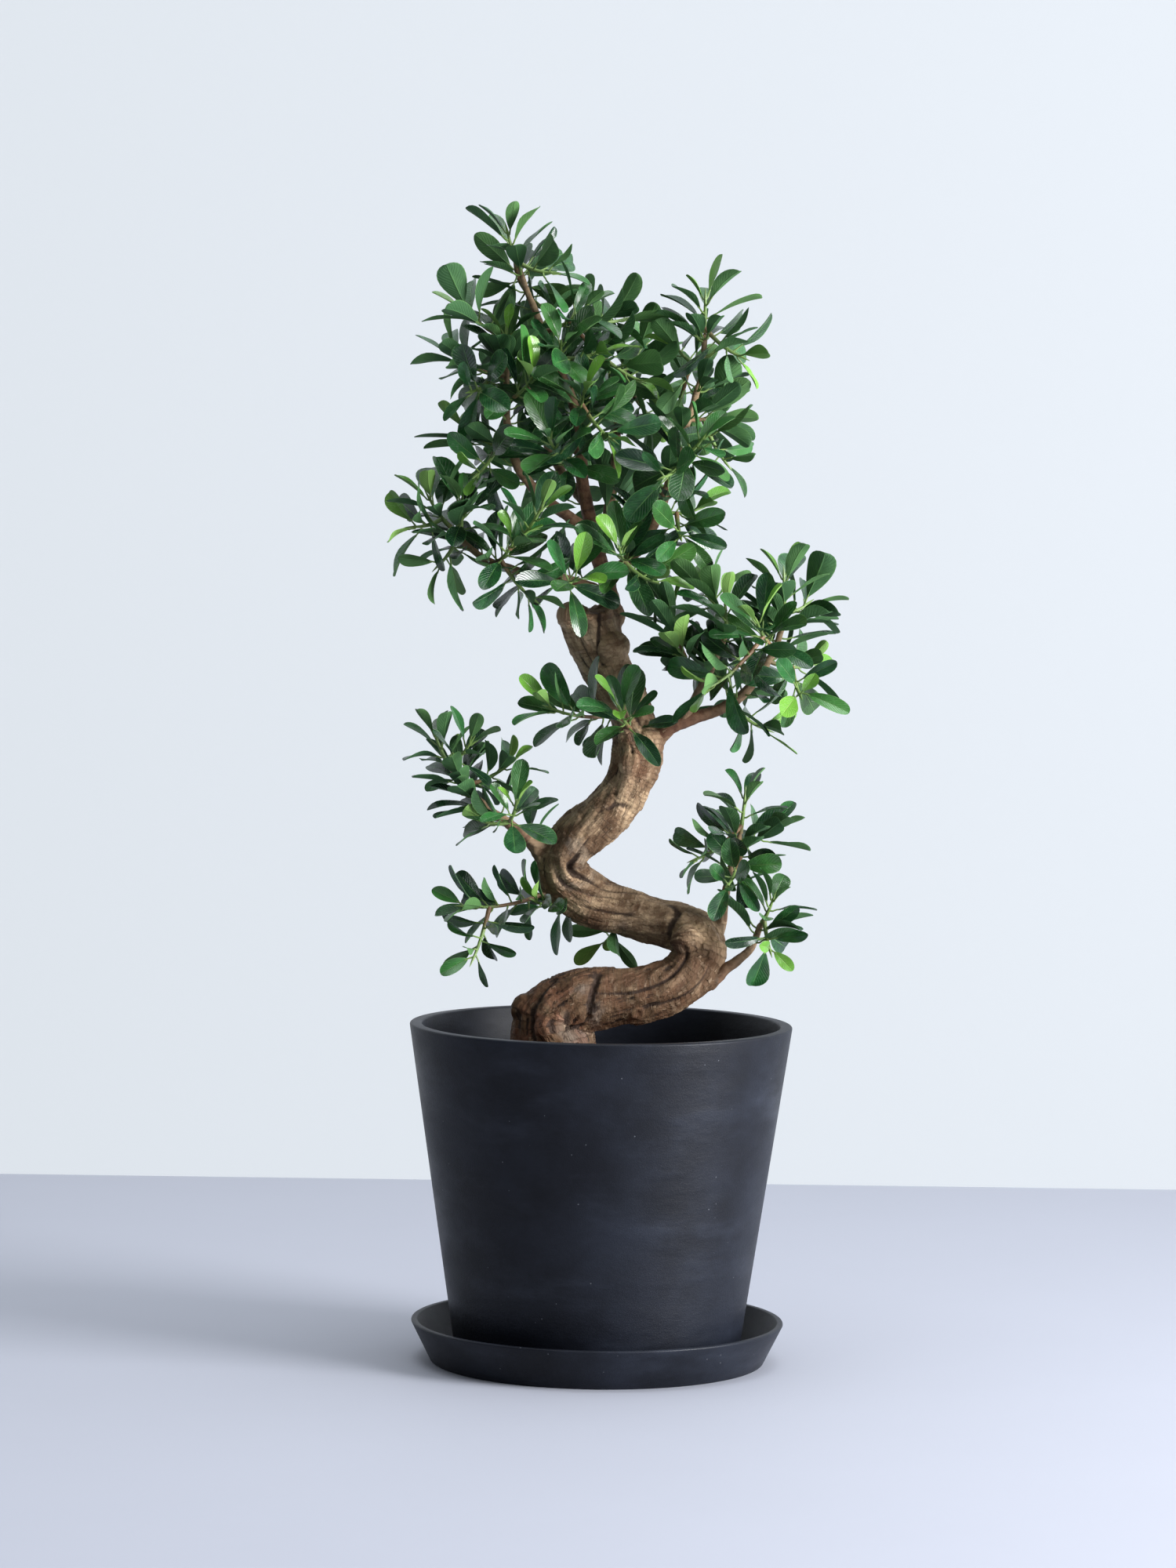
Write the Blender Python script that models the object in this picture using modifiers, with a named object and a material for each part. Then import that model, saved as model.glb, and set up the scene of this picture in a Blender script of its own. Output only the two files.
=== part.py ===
"""A small-leaved fig trained as a bonsai, growing in a tapered planter that stands on its saucer.

The twisted trunk carries named branches, and each branch carries leafy shoots. Inside the planter are
the potting soil around the roots, a gravel layer and the net over the drain hole. Metres, +Z up; the
origin is the centre of the saucer's underside.
"""

import math
import random

import bmesh
import bpy
from mathutils import Matrix, Vector
from mathutils.bvhtree import BVHTree

MM = 0.001
GAP = 0.3  # between two pieces that touch; every length below is in millimetres

# Driving dimensions of the planter and its saucer
TURNED_STEPS = 44
POT_RIM_RADIUS = 150.0
POT_BASE_RADIUS = 111.5
POT_HEIGHT = 260.0
POT_WALL = 9.5
POT_FLOOR = 8.0
FOOT_RECESS = 3.0
FOOT_WIDTH = 16.0
FOOT_NOTCHES = 3
FOOT_NOTCH_SIZE = (3 * FOOT_WIDTH, 9.0, 2 * FOOT_RECESS - 1)
FOOT_NOTCH_TURN = 30  # degrees from +X to the first notch
DRAIN_HOLE_RADIUS = 12.0
RIM_ROUNDING = 1.5
SAUCER_RIM_RADIUS = 146.0
SAUCER_BASE_RADIUS = 131.0
SAUCER_HEIGHT = 32.0
SAUCER_WALL = 5.0
NET_SIDE = 40.0
NET_THICKNESS = 1.2
NET_CELLS = 3
NET_BAR = 1.6
GRAVEL_DEPTH = 26.0
GRAVEL_RECESS_RADIUS = 31.0
SOIL_EDGE = 222.0
SOIL_CROWN = 234.0
MOUND_CENTRE = (-36, -6, 230)  # the soil heaped round the foot of the trunk, an ellipsoid
MOUND_RADII = (58, 54, 25)

POT_BOTTOM = SAUCER_WALL + GAP
POT_TOP = POT_BOTTOM + POT_HEIGHT
POT_INSIDE_BOTTOM = POT_BOTTOM + FOOT_RECESS + POT_FLOOR
GRAVEL_TOP = POT_INSIDE_BOTTOM + GRAVEL_DEPTH

# The trunk's middle line from the buried crown of the roots to the sawn top: x, y, z and radius
TRUNK = [
    (-34, 6, 196, 26), (-36, 4, 222, 34), (-38, 0, 250, 34), (-38, -2, 268, 29), (-19, -5, 282, 26),
    (5, -7, 287, 23), (30, -9, 290, 21), (56, -9, 298, 21), (74, -4, 313, 21), (75, 5, 329, 21),
    (62, 13, 340, 20), (40, 18, 345, 18), (16, 20, 353, 18), (-9, 18, 362, 20), (-27, 12, 376, 20),
    (-32, 6, 393, 19), (-21, 0, 410, 18), (-1, -4, 428, 18), (16, -6, 450, 17), (25, -4, 474, 19),
    (23, 0, 497, 18), (16, 4, 518, 17), (4, 6, 537, 18), (-5, 6, 556, 20), (-11, 4, 573, 22),
    (-15, 2, 588, 22),
]
# Swellings where old branches were cut off: x, y, z and radius
KNOTS = [
    (-58, -6, 276, 13), (-40, -30, 262, 12), (84, -12, 322, 13), (66, -14, 334, 12), (-44, 8, 402, 11),
    (34, -14, 486, 11), (4, -10, 560, 12), (-27, -6, 584, 12), (2, 4, 584, 12), (20, -16, 470, 10),
]
# Buried roots: the direction in degrees and how far each reaches from the crown
ROOTS = ((20, 88), (75, 76), (130, 56), (190, 48), (245, 60), (310, 80))
ROOT_DROP = 34.0
ROOT_RADII = (12.0, 3.5)
TRUNK_VOXEL = 4.0  # of the skin that joins the trunk's shapes
BARK_LUMP_SPACING = 22
BARK_LUMP_HEIGHT = 5
TRUNK_FACES_KEPT = 0.1

# Branches: the wood that each grows from, its radius at both ends, and its middle line
BRANCHES = {
    "crown_leader": ("trunk", 7.5, 2.0, [
        (-3, 4, 568), (3, 2, 592), (-1, 2, 612), (-7, 4, 630), (-12, 6, 650), (-19, 8, 683),
        (-23, 8, 713), (-26, 6, 741), (-36, 4, 768), (-50, 2, 799), (-61, 0, 826), (-72, 0, 854)]),
    "right_leader": ("crown_leader", 5.0, 2.0, [
        (-1, 2, 612), (12, -4, 625), (27, -10, 640), (38, -16, 662), (47, -18, 689), (55, -16, 720),
        (65, -12, 750), (72, -10, 778), (73, -8, 805)]),
    "left_leader": ("crown_leader", 5.0, 2.0, [
        (-11, 5, 646), (-34, -8, 664), (-57, -18, 682), (-72, -25, 702), (-78, -27, 728),
        (-80, -26, 756), (-80, -24, 782)]),
    "far_left_branch": ("crown_leader", 4.5, 2.0, [
        (3, 2, 598), (-16, -8, 608), (-38, -18, 614), (-64, -27, 618), (-88, -34, 625), (-106, -38, 636),
        (-121, -40, 652)]),
    "back_leader": ("crown_leader", 5.0, 2.0, [
        (-7, 4, 630), (-2, 24, 650), (3, 42, 684), (6, 52, 716), (6, 57, 744), (5, 60, 771)]),
    "back_left_branch": ("crown_leader", 4.5, 2.0, [
        (-17, 8, 672), (-36, 32, 695), (-52, 48, 726), (-62, 56, 758)]),
    "middle_left_branch": ("trunk", 6.0, 2.0, [
        (-36, 4, 392), (-50, 0, 402), (-62, -6, 413), (-80, -12, 426), (-98, -16, 441), (-116, -18, 460)]),
    "right_branch": ("trunk", 7.0, 2.0, [
        (26, -2, 478), (38, -8, 488), (50, -13, 498), (70, -16, 507), (92, -18, 515), (112, -18, 531),
        (129, -16, 557), (139, -12, 584)]),
    "right_inner_branch": ("right_branch", 4.0, 2.0, [
        (60, -15, 503), (72, -24, 527), (84, -32, 551), (93, -36, 573)]),
    "knee_branch": ("trunk", 5.0, 2.0, [
        (80, 2, 326), (92, 6, 342), (96, 8, 366), (101, 6, 392), (107, 4, 416)]),
    "low_right_branch": ("trunk", 6.0, 2.2, [
        (66, -10, 298), (84, -14, 300), (98, -16, 312), (114, -18, 326), (124, -18, 348)]),
}

# Leafy shoots: the wood that each grows from and the tips of its stems, which fork from the first
SHOOTS = {
    "crown_shoot_top": ("crown_leader", [(-81, -5, 881), (-46, -10, 850), (-55, 30, 826)]),
    "crown_shoot_right": ("crown_leader", [(-21, -20, 822), (13, 5, 816), (22, -10, 768)]),
    "crown_shoot_front": ("crown_leader", [(-38, -45, 793), (-11, -30, 788)]),
    "crown_shoot_middle": ("crown_leader", [(-20, -60, 757), (2, -55, 721)]),
    "crown_shoot_left": ("crown_leader", [(-46, -70, 720)]),
    "crown_shoot_low": ("far_left_branch", [(-24, -60, 614)]),
    "crown_shoot_low_right": ("right_leader", [(9, -60, 637), (36, -36, 612)]),
    "right_leader_shoot_top": ("right_leader", [(73, -10, 832), (101, -15, 787)]),
    "right_leader_shoot_inner": ("right_leader", [(50, 12, 796), (51, 40, 742)]),
    "right_leader_shoot_outer": ("right_leader", [(88, 26, 748), (91, 0, 705)]),
    "right_leader_shoot_front": ("right_leader", [(71, -50, 722), (41, -65, 692)]),
    "right_leader_shoot_low": ("right_leader", [(68, -14, 668), (56, -44, 646)]),
    "left_leader_shoot_top": ("left_leader", [(-81, -25, 802), (-116, -15, 824)]),
    "left_leader_shoot_outer": ("left_leader", [(-124, -10, 787), (-107, -50, 756)]),
    "left_leader_shoot_front": ("left_leader", [(-59, -60, 768)]),
    "left_leader_shoot_low": ("left_leader", [(-111, -16, 726), (-101, -44, 693)]),
    "far_left_shoot_tip": ("far_left_branch", [(-138, -40, 674), (-149, -45, 652)]),
    "far_left_shoot_middle": ("far_left_branch", [(-112, -56, 672), (-130, -40, 623)]),
    "far_left_shoot_front": ("far_left_branch", [(-72, -70, 642), (-57, -52, 598), (-51, -82, 668)]),
    "back_shoot_right": ("back_leader", [(26, 75, 798), (39, 80, 736)]),
    "back_shoot_top": ("back_leader", [(-11, 80, 804), (-26, 92, 732)]),
    "back_shoot_low": ("back_leader", [(9, 78, 676)]),
    "back_left_shoot_top": ("back_left_branch", [(-61, 84, 802), (-86, 72, 750)]),
    "back_left_shoot_low": ("back_left_branch", [(-82, 58, 694)]),
    "right_branch_shoot_tip": ("right_branch", [(137, -14, 618), (156, 0, 596)]),
    "right_branch_shoot_outer": ("right_branch", [(157, -8, 548), (150, -40, 526)]),
    "right_branch_shoot_front": ("right_branch", [(115, -60, 583), (78, -68, 532)]),
    "right_branch_shoot_hanging": ("right_branch", [(124, -20, 499), (97, 20, 538)]),
    "right_inner_shoot_tip": ("right_inner_branch", [(91, -42, 596), (72, -18, 610)]),
    "right_inner_shoot_left": ("right_inner_branch", [(56, -50, 560), (50, -22, 590)]),
    "trunk_shoot_front": ("trunk", [(11, -56, 514)]),
    "trunk_shoot_left": ("trunk", [(-43, -44, 514)]),
    "middle_left_shoot_tip": ("middle_left_branch", [(-132, -20, 490), (-104, -36, 486)]),
    "middle_left_shoot_back": ("middle_left_branch", [(-118, 6, 466), (-72, -6, 470)]),
    "middle_left_shoot_front": ("middle_left_branch", [(-68, -54, 440), (-92, -28, 424)]),
    "low_left_shoot_outer": ("trunk", [(-108, -24, 358), (-100, -30, 318)]),
    "low_left_shoot_inner": ("trunk", [(-53, -14, 362)]),
    "knee_shoot_top": ("knee_branch", [(110, 0, 446), (72, -10, 396)]),
    "knee_shoot_right": ("knee_branch", [(134, 12, 420), (96, -40, 378)]),
    "low_right_shoot": ("low_right_branch", [(132, -24, 366), (130, -36, 328)]),
    "low_back_shoot": ("trunk", [(3, 44, 326)]),
}
STEM_RADII = (1.8, 1.1)
STEM_SPACING = 10  # least distance between two stems on the same wood
# How far the middle of a stem bends down and sideways, as shares of its length, best first
STEM_BENDS = ((0.16, 0), (0.26, 0.12), (0.26, -0.12), (0.05, 0.25), (0.05, -0.25), (0.4, 0),
              (-0.1, 0.3), (-0.1, -0.3), (0.4, 0.4), (0.4, -0.4))
LEAVES_PER_TIP = 4
LEAF_LENGTH = 41.0
LEAF_WIDTH = 18.0
LEAF_THICKNESS = 1.3
LEAF_CLEARANCE = 0.9  # kept free round each leaf
BARE_STALK = 0.12  # the share of a leaf next to its stem, where neighbours may touch
LEAFY_SHARE = 0.62  # of each stem, from its tip
LEAF_TRIES = 14
LEAF_SWING = 0.35  # radians that a leaf turns for each pair of tries
LEAF_SHRINKING = 0.03  # the share of its size that it loses with each try
GOLDEN_ANGLE = math.pi * (3 - math.sqrt(5))
SEED = 7

POT_COLOUR = (0.022, 0.024, 0.031)
SOIL_COLOUR = (0.055, 0.030, 0.018)
GRAVEL_COLOUR = (0.16, 0.13, 0.11)
NET_COLOUR = (0.01, 0.012, 0.012)
BARK_COLOUR = (0.26, 0.17, 0.095)
BRANCH_COLOUR = (0.20, 0.12, 0.07)
LEAF_COLOUR = (0.018, 0.085, 0.022)


def clear_scene():
    for obj in list(bpy.data.objects):
        bpy.data.objects.remove(obj, do_unlink=True)


def new_collection(name):
    collection = bpy.data.collections.new(name)
    bpy.context.scene.collection.children.link(collection)
    return collection


def new_material(name, colour, roughness):
    material = bpy.data.materials.new(name)
    material.use_nodes = True
    shader = material.node_tree.nodes["Principled BSDF"]
    shader.inputs["Base Color"].default_value = (*colour, 1.0)
    shader.inputs["Roughness"].default_value = roughness
    shader.inputs["Metallic"].default_value = 0.0
    return material


def add_object(name, mesh, collection, material=None):
    obj = bpy.data.objects.new(name, mesh)
    collection.objects.link(obj)
    if material:
        mesh.materials.clear()
        mesh.materials.append(material)
    return obj


def add_cutter(name, mesh):
    cutter = add_object(name, mesh, CUTTERS)
    cutter.hide_render = True
    cutter.display_type = "WIRE"
    return cutter


def add_boolean(obj, operation, other, use_self=False):
    boolean = obj.modifiers.new(operation.lower(), "BOOLEAN")
    boolean.operation = operation
    boolean.solver = "EXACT"
    boolean.object = other
    boolean.use_self = use_self


def evaluated_mesh(obj):
    """A new mesh of the object as its modifiers leave it, with loose caps welded."""
    bpy.context.view_layer.update()
    evaluated = obj.evaluated_get(bpy.context.evaluated_depsgraph_get())
    mesh = bpy.data.meshes.new_from_object(evaluated)
    welded = bmesh.new()
    welded.from_mesh(mesh)
    bmesh.ops.remove_doubles(welded, verts=welded.verts, dist=0.01 * MM)
    welded.to_mesh(mesh)
    welded.free()
    return mesh


def remove_object(obj):
    bpy.data.objects.remove(obj, do_unlink=True)


def joined_mesh(name, meshes):
    """One mesh that holds all of these, which are then removed."""
    whole = bmesh.new()
    for mesh in meshes:
        whole.from_mesh(mesh)
        bpy.data.meshes.remove(mesh)
    joined = bpy.data.meshes.new(name)
    whole.to_mesh(joined)
    whole.free()
    return joined


def smooth_shading(mesh, degrees=35):
    mesh.shade_smooth()
    mesh.set_sharp_from_angle(angle=math.radians(degrees))


# ---- Turned pieces: the planter, its saucer, the gravel and the soil ----

def turned(name, outline, material, closed_loop):
    """The outline, as (radius, height) down its outer side, turned round the Z axis."""
    mesh = bpy.data.meshes.new(name)
    count = len(outline)
    edges = [(i, i + 1) for i in range(count - 1)]
    if closed_loop:
        edges.append((count - 1, 0))
    mesh.from_pydata([(r * MM, 0, z * MM) for r, z in outline], edges, [])
    obj = add_object(name, mesh, PARTS, material)
    screw = obj.modifiers.new("turn", "SCREW")
    screw.axis = "Z"
    screw.angle = math.tau
    screw.steps = TURNED_STEPS
    screw.render_steps = TURNED_STEPS
    screw.use_merge_vertices = True
    screw.merge_threshold = 0.01 * MM
    screw.use_smooth_shade = True
    return obj


def pot_outer_radius(z):
    share = (z - POT_BOTTOM) / POT_HEIGHT
    return POT_BASE_RADIUS + (POT_RIM_RADIUS - POT_BASE_RADIUS) * share


def pot_inner_radius(z):
    return pot_outer_radius(z) - POT_WALL


def make_saucer(material):
    floor_edge = SAUCER_BASE_RADIUS - SAUCER_WALL
    outline = [
        (0, SAUCER_WALL),
        (floor_edge, SAUCER_WALL),
        (SAUCER_RIM_RADIUS - SAUCER_WALL, SAUCER_HEIGHT - 1),
        (SAUCER_RIM_RADIUS - SAUCER_WALL + 1, SAUCER_HEIGHT),
        (SAUCER_RIM_RADIUS - 1, SAUCER_HEIGHT),
        (SAUCER_RIM_RADIUS, SAUCER_HEIGHT - 1),
        (SAUCER_BASE_RADIUS + 0.5, 1),
        (SAUCER_BASE_RADIUS - 1, 0),
        (0, 0),
    ]
    return turned("saucer", outline, material, closed_loop=False)


def make_pot(material):
    recess_radius = POT_BASE_RADIUS - FOOT_WIDTH
    corner = POT_INSIDE_BOTTOM + 3
    inner_edge = POT_TOP - RIM_ROUNDING
    outline = [
        (POT_RIM_RADIUS - RIM_ROUNDING, POT_TOP),
        (POT_RIM_RADIUS, POT_TOP - RIM_ROUNDING),
        (POT_BASE_RADIUS, POT_BOTTOM + 1),
        (POT_BASE_RADIUS - 1, POT_BOTTOM),
        (recess_radius + 2, POT_BOTTOM),
        (recess_radius, POT_BOTTOM + FOOT_RECESS),
        (DRAIN_HOLE_RADIUS, POT_BOTTOM + FOOT_RECESS),
        (DRAIN_HOLE_RADIUS, POT_INSIDE_BOTTOM),
        (pot_inner_radius(corner) - 3, POT_INSIDE_BOTTOM),
        (pot_inner_radius(corner), corner),
        (pot_inner_radius(inner_edge), inner_edge),
        (pot_inner_radius(POT_TOP) + RIM_ROUNDING, POT_TOP),
    ]
    pot = turned("pot", outline, material, closed_loop=True)
    for index in range(FOOT_NOTCHES):
        angle = math.radians(FOOT_NOTCH_TURN + 360 / FOOT_NOTCHES * index)
        notch = bmesh.new()
        place = Matrix.Rotation(angle, 4, "Z") @ Matrix.Translation(
            Vector((POT_BASE_RADIUS - FOOT_WIDTH / 2, 0, POT_BOTTOM)) * MM)
        size = Matrix.Diagonal(Vector(FOOT_NOTCH_SIZE) * MM).to_4x4()
        bmesh.ops.create_cube(notch, size=1.0, matrix=place @ size)
        mesh = bpy.data.meshes.new("foot_notch")
        notch.to_mesh(mesh)
        notch.free()
        add_boolean(pot, "DIFFERENCE", add_cutter(f"foot_notch_{index}", mesh))
    return pot


def make_drain_net(material):
    grid = bmesh.new()
    bmesh.ops.create_grid(grid, x_segments=NET_CELLS, y_segments=NET_CELLS, size=NET_SIDE * MM / 2)
    cells = list(grid.faces)
    bmesh.ops.inset_individual(grid, faces=cells, thickness=NET_BAR * MM)
    bmesh.ops.delete(grid, geom=cells, context="FACES_ONLY")
    mesh = bpy.data.meshes.new("drain_net")
    grid.to_mesh(mesh)
    grid.free()
    net = add_object("drain_net", mesh, PARTS, material)
    net.location.z = (POT_INSIDE_BOTTOM + GAP + NET_THICKNESS / 2) * MM
    solidify = net.modifiers.new("thickness", "SOLIDIFY")
    solidify.thickness = NET_THICKNESS * MM
    solidify.offset = 0
    return net


def make_gravel(material):
    bottom = POT_INSIDE_BOTTOM + GAP
    recess = bottom + NET_THICKNESS + GAP
    outline = [(0, GRAVEL_TOP)]
    for ring in range(1, 4):
        radius = ring / 3 * (pot_inner_radius(GRAVEL_TOP) - GAP)
        outline.append((radius, GRAVEL_TOP - (1.5 if ring % 2 else 0)))
    outline += [
        (pot_inner_radius(bottom + 4) - GAP, bottom + 4),
        (pot_inner_radius(bottom) - 5, bottom),
        (GRAVEL_RECESS_RADIUS, bottom),
        (GRAVEL_RECESS_RADIUS, recess),
        (0, recess),
    ]
    return turned("drainage_gravel", outline, material, closed_loop=False)


def make_soil(material, trunk_clearance):
    bottom = GRAVEL_TOP + GAP
    outline = [
        (0, SOIL_CROWN),
        (70, SOIL_CROWN - 3),
        (pot_inner_radius(SOIL_EDGE) - 12, SOIL_EDGE + 3),
        (pot_inner_radius(SOIL_EDGE) - GAP, SOIL_EDGE),
        (pot_inner_radius(bottom) - GAP, bottom),
        (0, bottom),
    ]
    soil = turned("potting_soil", outline, material, closed_loop=False)
    mound = bmesh.new()
    place = Matrix.Translation(Vector(MOUND_CENTRE) * MM)
    size = Matrix.Diagonal(Vector(MOUND_RADII) * MM).to_4x4()
    bmesh.ops.create_uvsphere(mound, u_segments=20, v_segments=10, radius=1.0, matrix=place @ size)
    mesh = bpy.data.meshes.new("soil_mound")
    mound.to_mesh(mesh)
    mound.free()
    add_boolean(soil, "UNION", add_cutter("soil_mound", mesh))
    add_boolean(soil, "DIFFERENCE", trunk_clearance)
    return soil


# ---- Wood ----

def smooth_line(points, spacing):
    """Points a few millimetres apart on a smooth curve through the given ones."""
    ends = [tuple(2 * a - b for a, b in zip(points[0], points[1]))]
    ends += list(points)
    ends.append(tuple(2 * a - b for a, b in zip(points[-1], points[-2])))
    line = [points[0]]
    for before, start, end, after in zip(ends, ends[1:], ends[2:], ends[3:]):
        pieces = max(1, round(math.dist(start[:3], end[:3]) / spacing))
        for piece in range(1, pieces + 1):
            t = piece / pieces
            line.append(tuple(
                0.5 * (2 * b + (c - a) * t + (2 * a - 5 * b + 4 * c - d) * t * t
                       + (3 * b - a - 3 * c + d) * t ** 3)
                for a, b, c, d in zip(before, start, end, after)))
    return line


def tapered(points, first_radius, last_radius):
    """The line's points with a radius each, falling from the first to the last."""
    last = len(points) - 1
    return [(*point, first_radius + (last_radius - first_radius) * index / last)
            for index, point in enumerate(points)]


def tube_mesh(name, line, bevel_resolution):
    """A closed tube along (x, y, z, radius) points, as a mesh."""
    curve = bpy.data.curves.new(name, "CURVE")
    curve.dimensions = "3D"
    curve.bevel_depth = MM
    curve.bevel_resolution = bevel_resolution
    curve.use_fill_caps = True
    spline = curve.splines.new("POLY")
    spline.points.add(len(line) - 1)
    for point, (x, y, z, radius) in zip(spline.points, line):
        point.co = (x * MM, y * MM, z * MM, 1)
        point.radius = radius
    obj = add_object(name, curve, PARTS)
    mesh = evaluated_mesh(obj)
    remove_object(obj)
    return mesh


def make_trunk(material):
    """The trunk with its knots and its buried roots, one piece of wood."""
    pieces = [tube_mesh("stem", smooth_line(TRUNK, 8), 4)]
    for x, y, z, radius in KNOTS:
        knot = bmesh.new()
        place = Matrix.Translation(Vector((x, y, z)) * MM)
        bmesh.ops.create_icosphere(knot, subdivisions=2, radius=radius * MM, matrix=place)
        pieces.append(bpy.data.meshes.new("knot"))
        knot.to_mesh(pieces[-1])
        knot.free()
    crown_x, crown_y, crown_z, crown_radius = TRUNK[1]
    for degrees, reach in ROOTS:
        out = Vector((math.cos(math.radians(degrees)), math.sin(math.radians(degrees)), 0))
        line = []
        for share in (0.0, 0.35, 0.7, 1.0):
            point = Vector((crown_x, crown_y, crown_z)) + out * (crown_radius / 2 + share * reach)
            point.z -= 8 + ROOT_DROP * share ** 1.5
            line.append((*point, ROOT_RADII[0] + (ROOT_RADII[1] - ROOT_RADII[0]) * share))
        pieces.append(tube_mesh("root", smooth_line(line, 12), 2))
    trunk = add_object("trunk", joined_mesh("trunk", pieces), PARTS, material)
    remesh = trunk.modifiers.new("one_skin", "REMESH")
    remesh.mode = "VOXEL"
    remesh.voxel_size = TRUNK_VOXEL * MM
    bark = bpy.data.textures.new("bark", "CLOUDS")
    bark.noise_scale = BARK_LUMP_SPACING * MM
    displace = trunk.modifiers.new("bark", "DISPLACE")
    displace.texture = bark
    displace.strength = BARK_LUMP_HEIGHT * MM
    displace.mid_level = 0.5
    decimate = trunk.modifiers.new("fewer_faces", "DECIMATE")
    decimate.ratio = TRUNK_FACES_KEPT
    finished = evaluated_mesh(trunk)
    remove_object(trunk)
    smooth_shading(finished, 50)
    return add_object("trunk", finished, PARTS, material)


def make_clearance(wood):
    """The wood grown by the gap, which is cut from whatever meets it."""
    grown = bmesh.new()
    grown.from_mesh(wood.data)
    steps = [vertex.normal * min(vertex.calc_shell_factor(), 3.0) for vertex in grown.verts]
    for vertex, step in zip(grown.verts, steps):
        vertex.co += step * 1.2 * GAP * MM
    mesh = bpy.data.meshes.new(f"{wood.name}_clearance")
    grown.to_mesh(mesh)
    grown.free()
    return add_cutter(f"{wood.name}_clearance", mesh)


def make_branch(name, parent, line, material, clearances):
    mesh = tube_mesh(name, line, 2)
    smooth_shading(mesh)
    branch = add_object(name, mesh, PARTS, material)
    wider = [(x, y, z, radius + GAP) for x, y, z, radius in line]
    clearances[name] = add_cutter(f"{name}_clearance", tube_mesh(f"{name}_clearance", wider, 2))
    for other, clearance in clearances.items():
        if other in (parent, "trunk"):
            add_boolean(branch, "DIFFERENCE", clearance)
    return branch


# ---- Leafy shoots ----

def tree_of(mesh):
    mesh.calc_loop_triangles()
    corners = [vertex.co.copy() for vertex in mesh.vertices]
    return BVHTree.FromPolygons(corners, [tuple(t.vertices) for t in mesh.loop_triangles])


def stem_line(start, tip, bulge, radii):
    """A stem that leaves its wood sideways and turns up to its tip."""
    middle = (start + tip) / 2 + bulge
    points = []
    for share in (0.0, 0.33, 0.67, 1.0):
        point = start * (1 - share) ** 2 + middle * 2 * share * (1 - share) + tip * share ** 2
        points.append(tuple(point))
    return tapered(points, *radii)


def nearest_on(line, tip, used):
    """The place on a line that a stem with this tip grows from: a little below it, and not used yet."""
    def cost(place):
        point = Vector(place[:3])
        crowding = sum((point - other).length < STEM_SPACING for other in used)
        return (tip - point).length + 0.45 * max(0.0, point.z - tip.z + 18) + 60 * crowding
    return min(line, key=cost)


def tree_of_tube(line, extra):
    """The tube along this line, wider by `extra`, for finding what it would touch."""
    mesh = tube_mesh("probe", [(x, y, z, radius + extra) for x, y, z, radius in line], 0)
    tree = tree_of(mesh)
    bpy.data.meshes.remove(mesh)
    return tree


def plan_stem(start, tip, radii, skip, wood, stems):
    """The first curve to the tip that stays clear of all that is already there."""
    side = (tip - start).cross(Vector((0, 0, 1)))
    side = side.normalized() if side.length > 1 else Vector((1, 0, 0))
    length = (tip - start).length
    best = None
    for down, across in STEM_BENDS:
        bulge = (Vector((0, 0, -down)) + side * across) * length
        line = stem_line(start, tip, bulge, radii)
        fine = smooth_line(line, 4)
        free = [place for place in fine if (Vector(place[:3]) - start).length > skip]
        probe = tree_of_tube(free, 1.0)
        whole = tree_of_tube(fine, 1.0)
        clashes = sum(len(probe.overlap(other)) for other in wood)
        clashes += sum(len(whole.overlap(other)) for other in stems)
        if best is None or clashes < best[0]:
            best = (clashes, line)
        if clashes == 0:
            break
    return best[1]


def leaf_frame(base, along, facing, droop):
    """Where a leaf's own length, width and thickness point, as it hangs by `droop` radians."""
    length = along.normalized()
    width = length.cross(facing).normalized()
    thickness = width.cross(length).normalized()
    tilt = Matrix.Rotation(-droop, 3, width)
    return base, tilt @ length, width, tilt @ thickness


def leaf_corners(frame, length, width, thickness):
    """An obovate leaf folded along its midrib: base, two sections of left, right and rib, tip."""
    base, along, across, up = frame
    corners = [base]
    for share, breadth, lift in ((0.42, 0.72, 0.0), (0.76, 1.0, -0.03)):
        middle = base + along * length * share + up * length * lift
        edge = across * width * breadth / 2
        fold = up * width * 0.10 * breadth
        corners += [middle - edge + fold, middle + edge + fold, middle - up * thickness]
    corners.append(base + along * length - up * length * 0.09)
    return corners


LEAF_FACES = [
    (0, 2, 1), (0, 1, 3), (0, 3, 2),
    (1, 2, 5), (1, 5, 4), (3, 1, 4), (3, 4, 6), (2, 3, 6), (2, 6, 5),
    (4, 5, 7), (6, 4, 7), (5, 6, 7),
]


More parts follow.
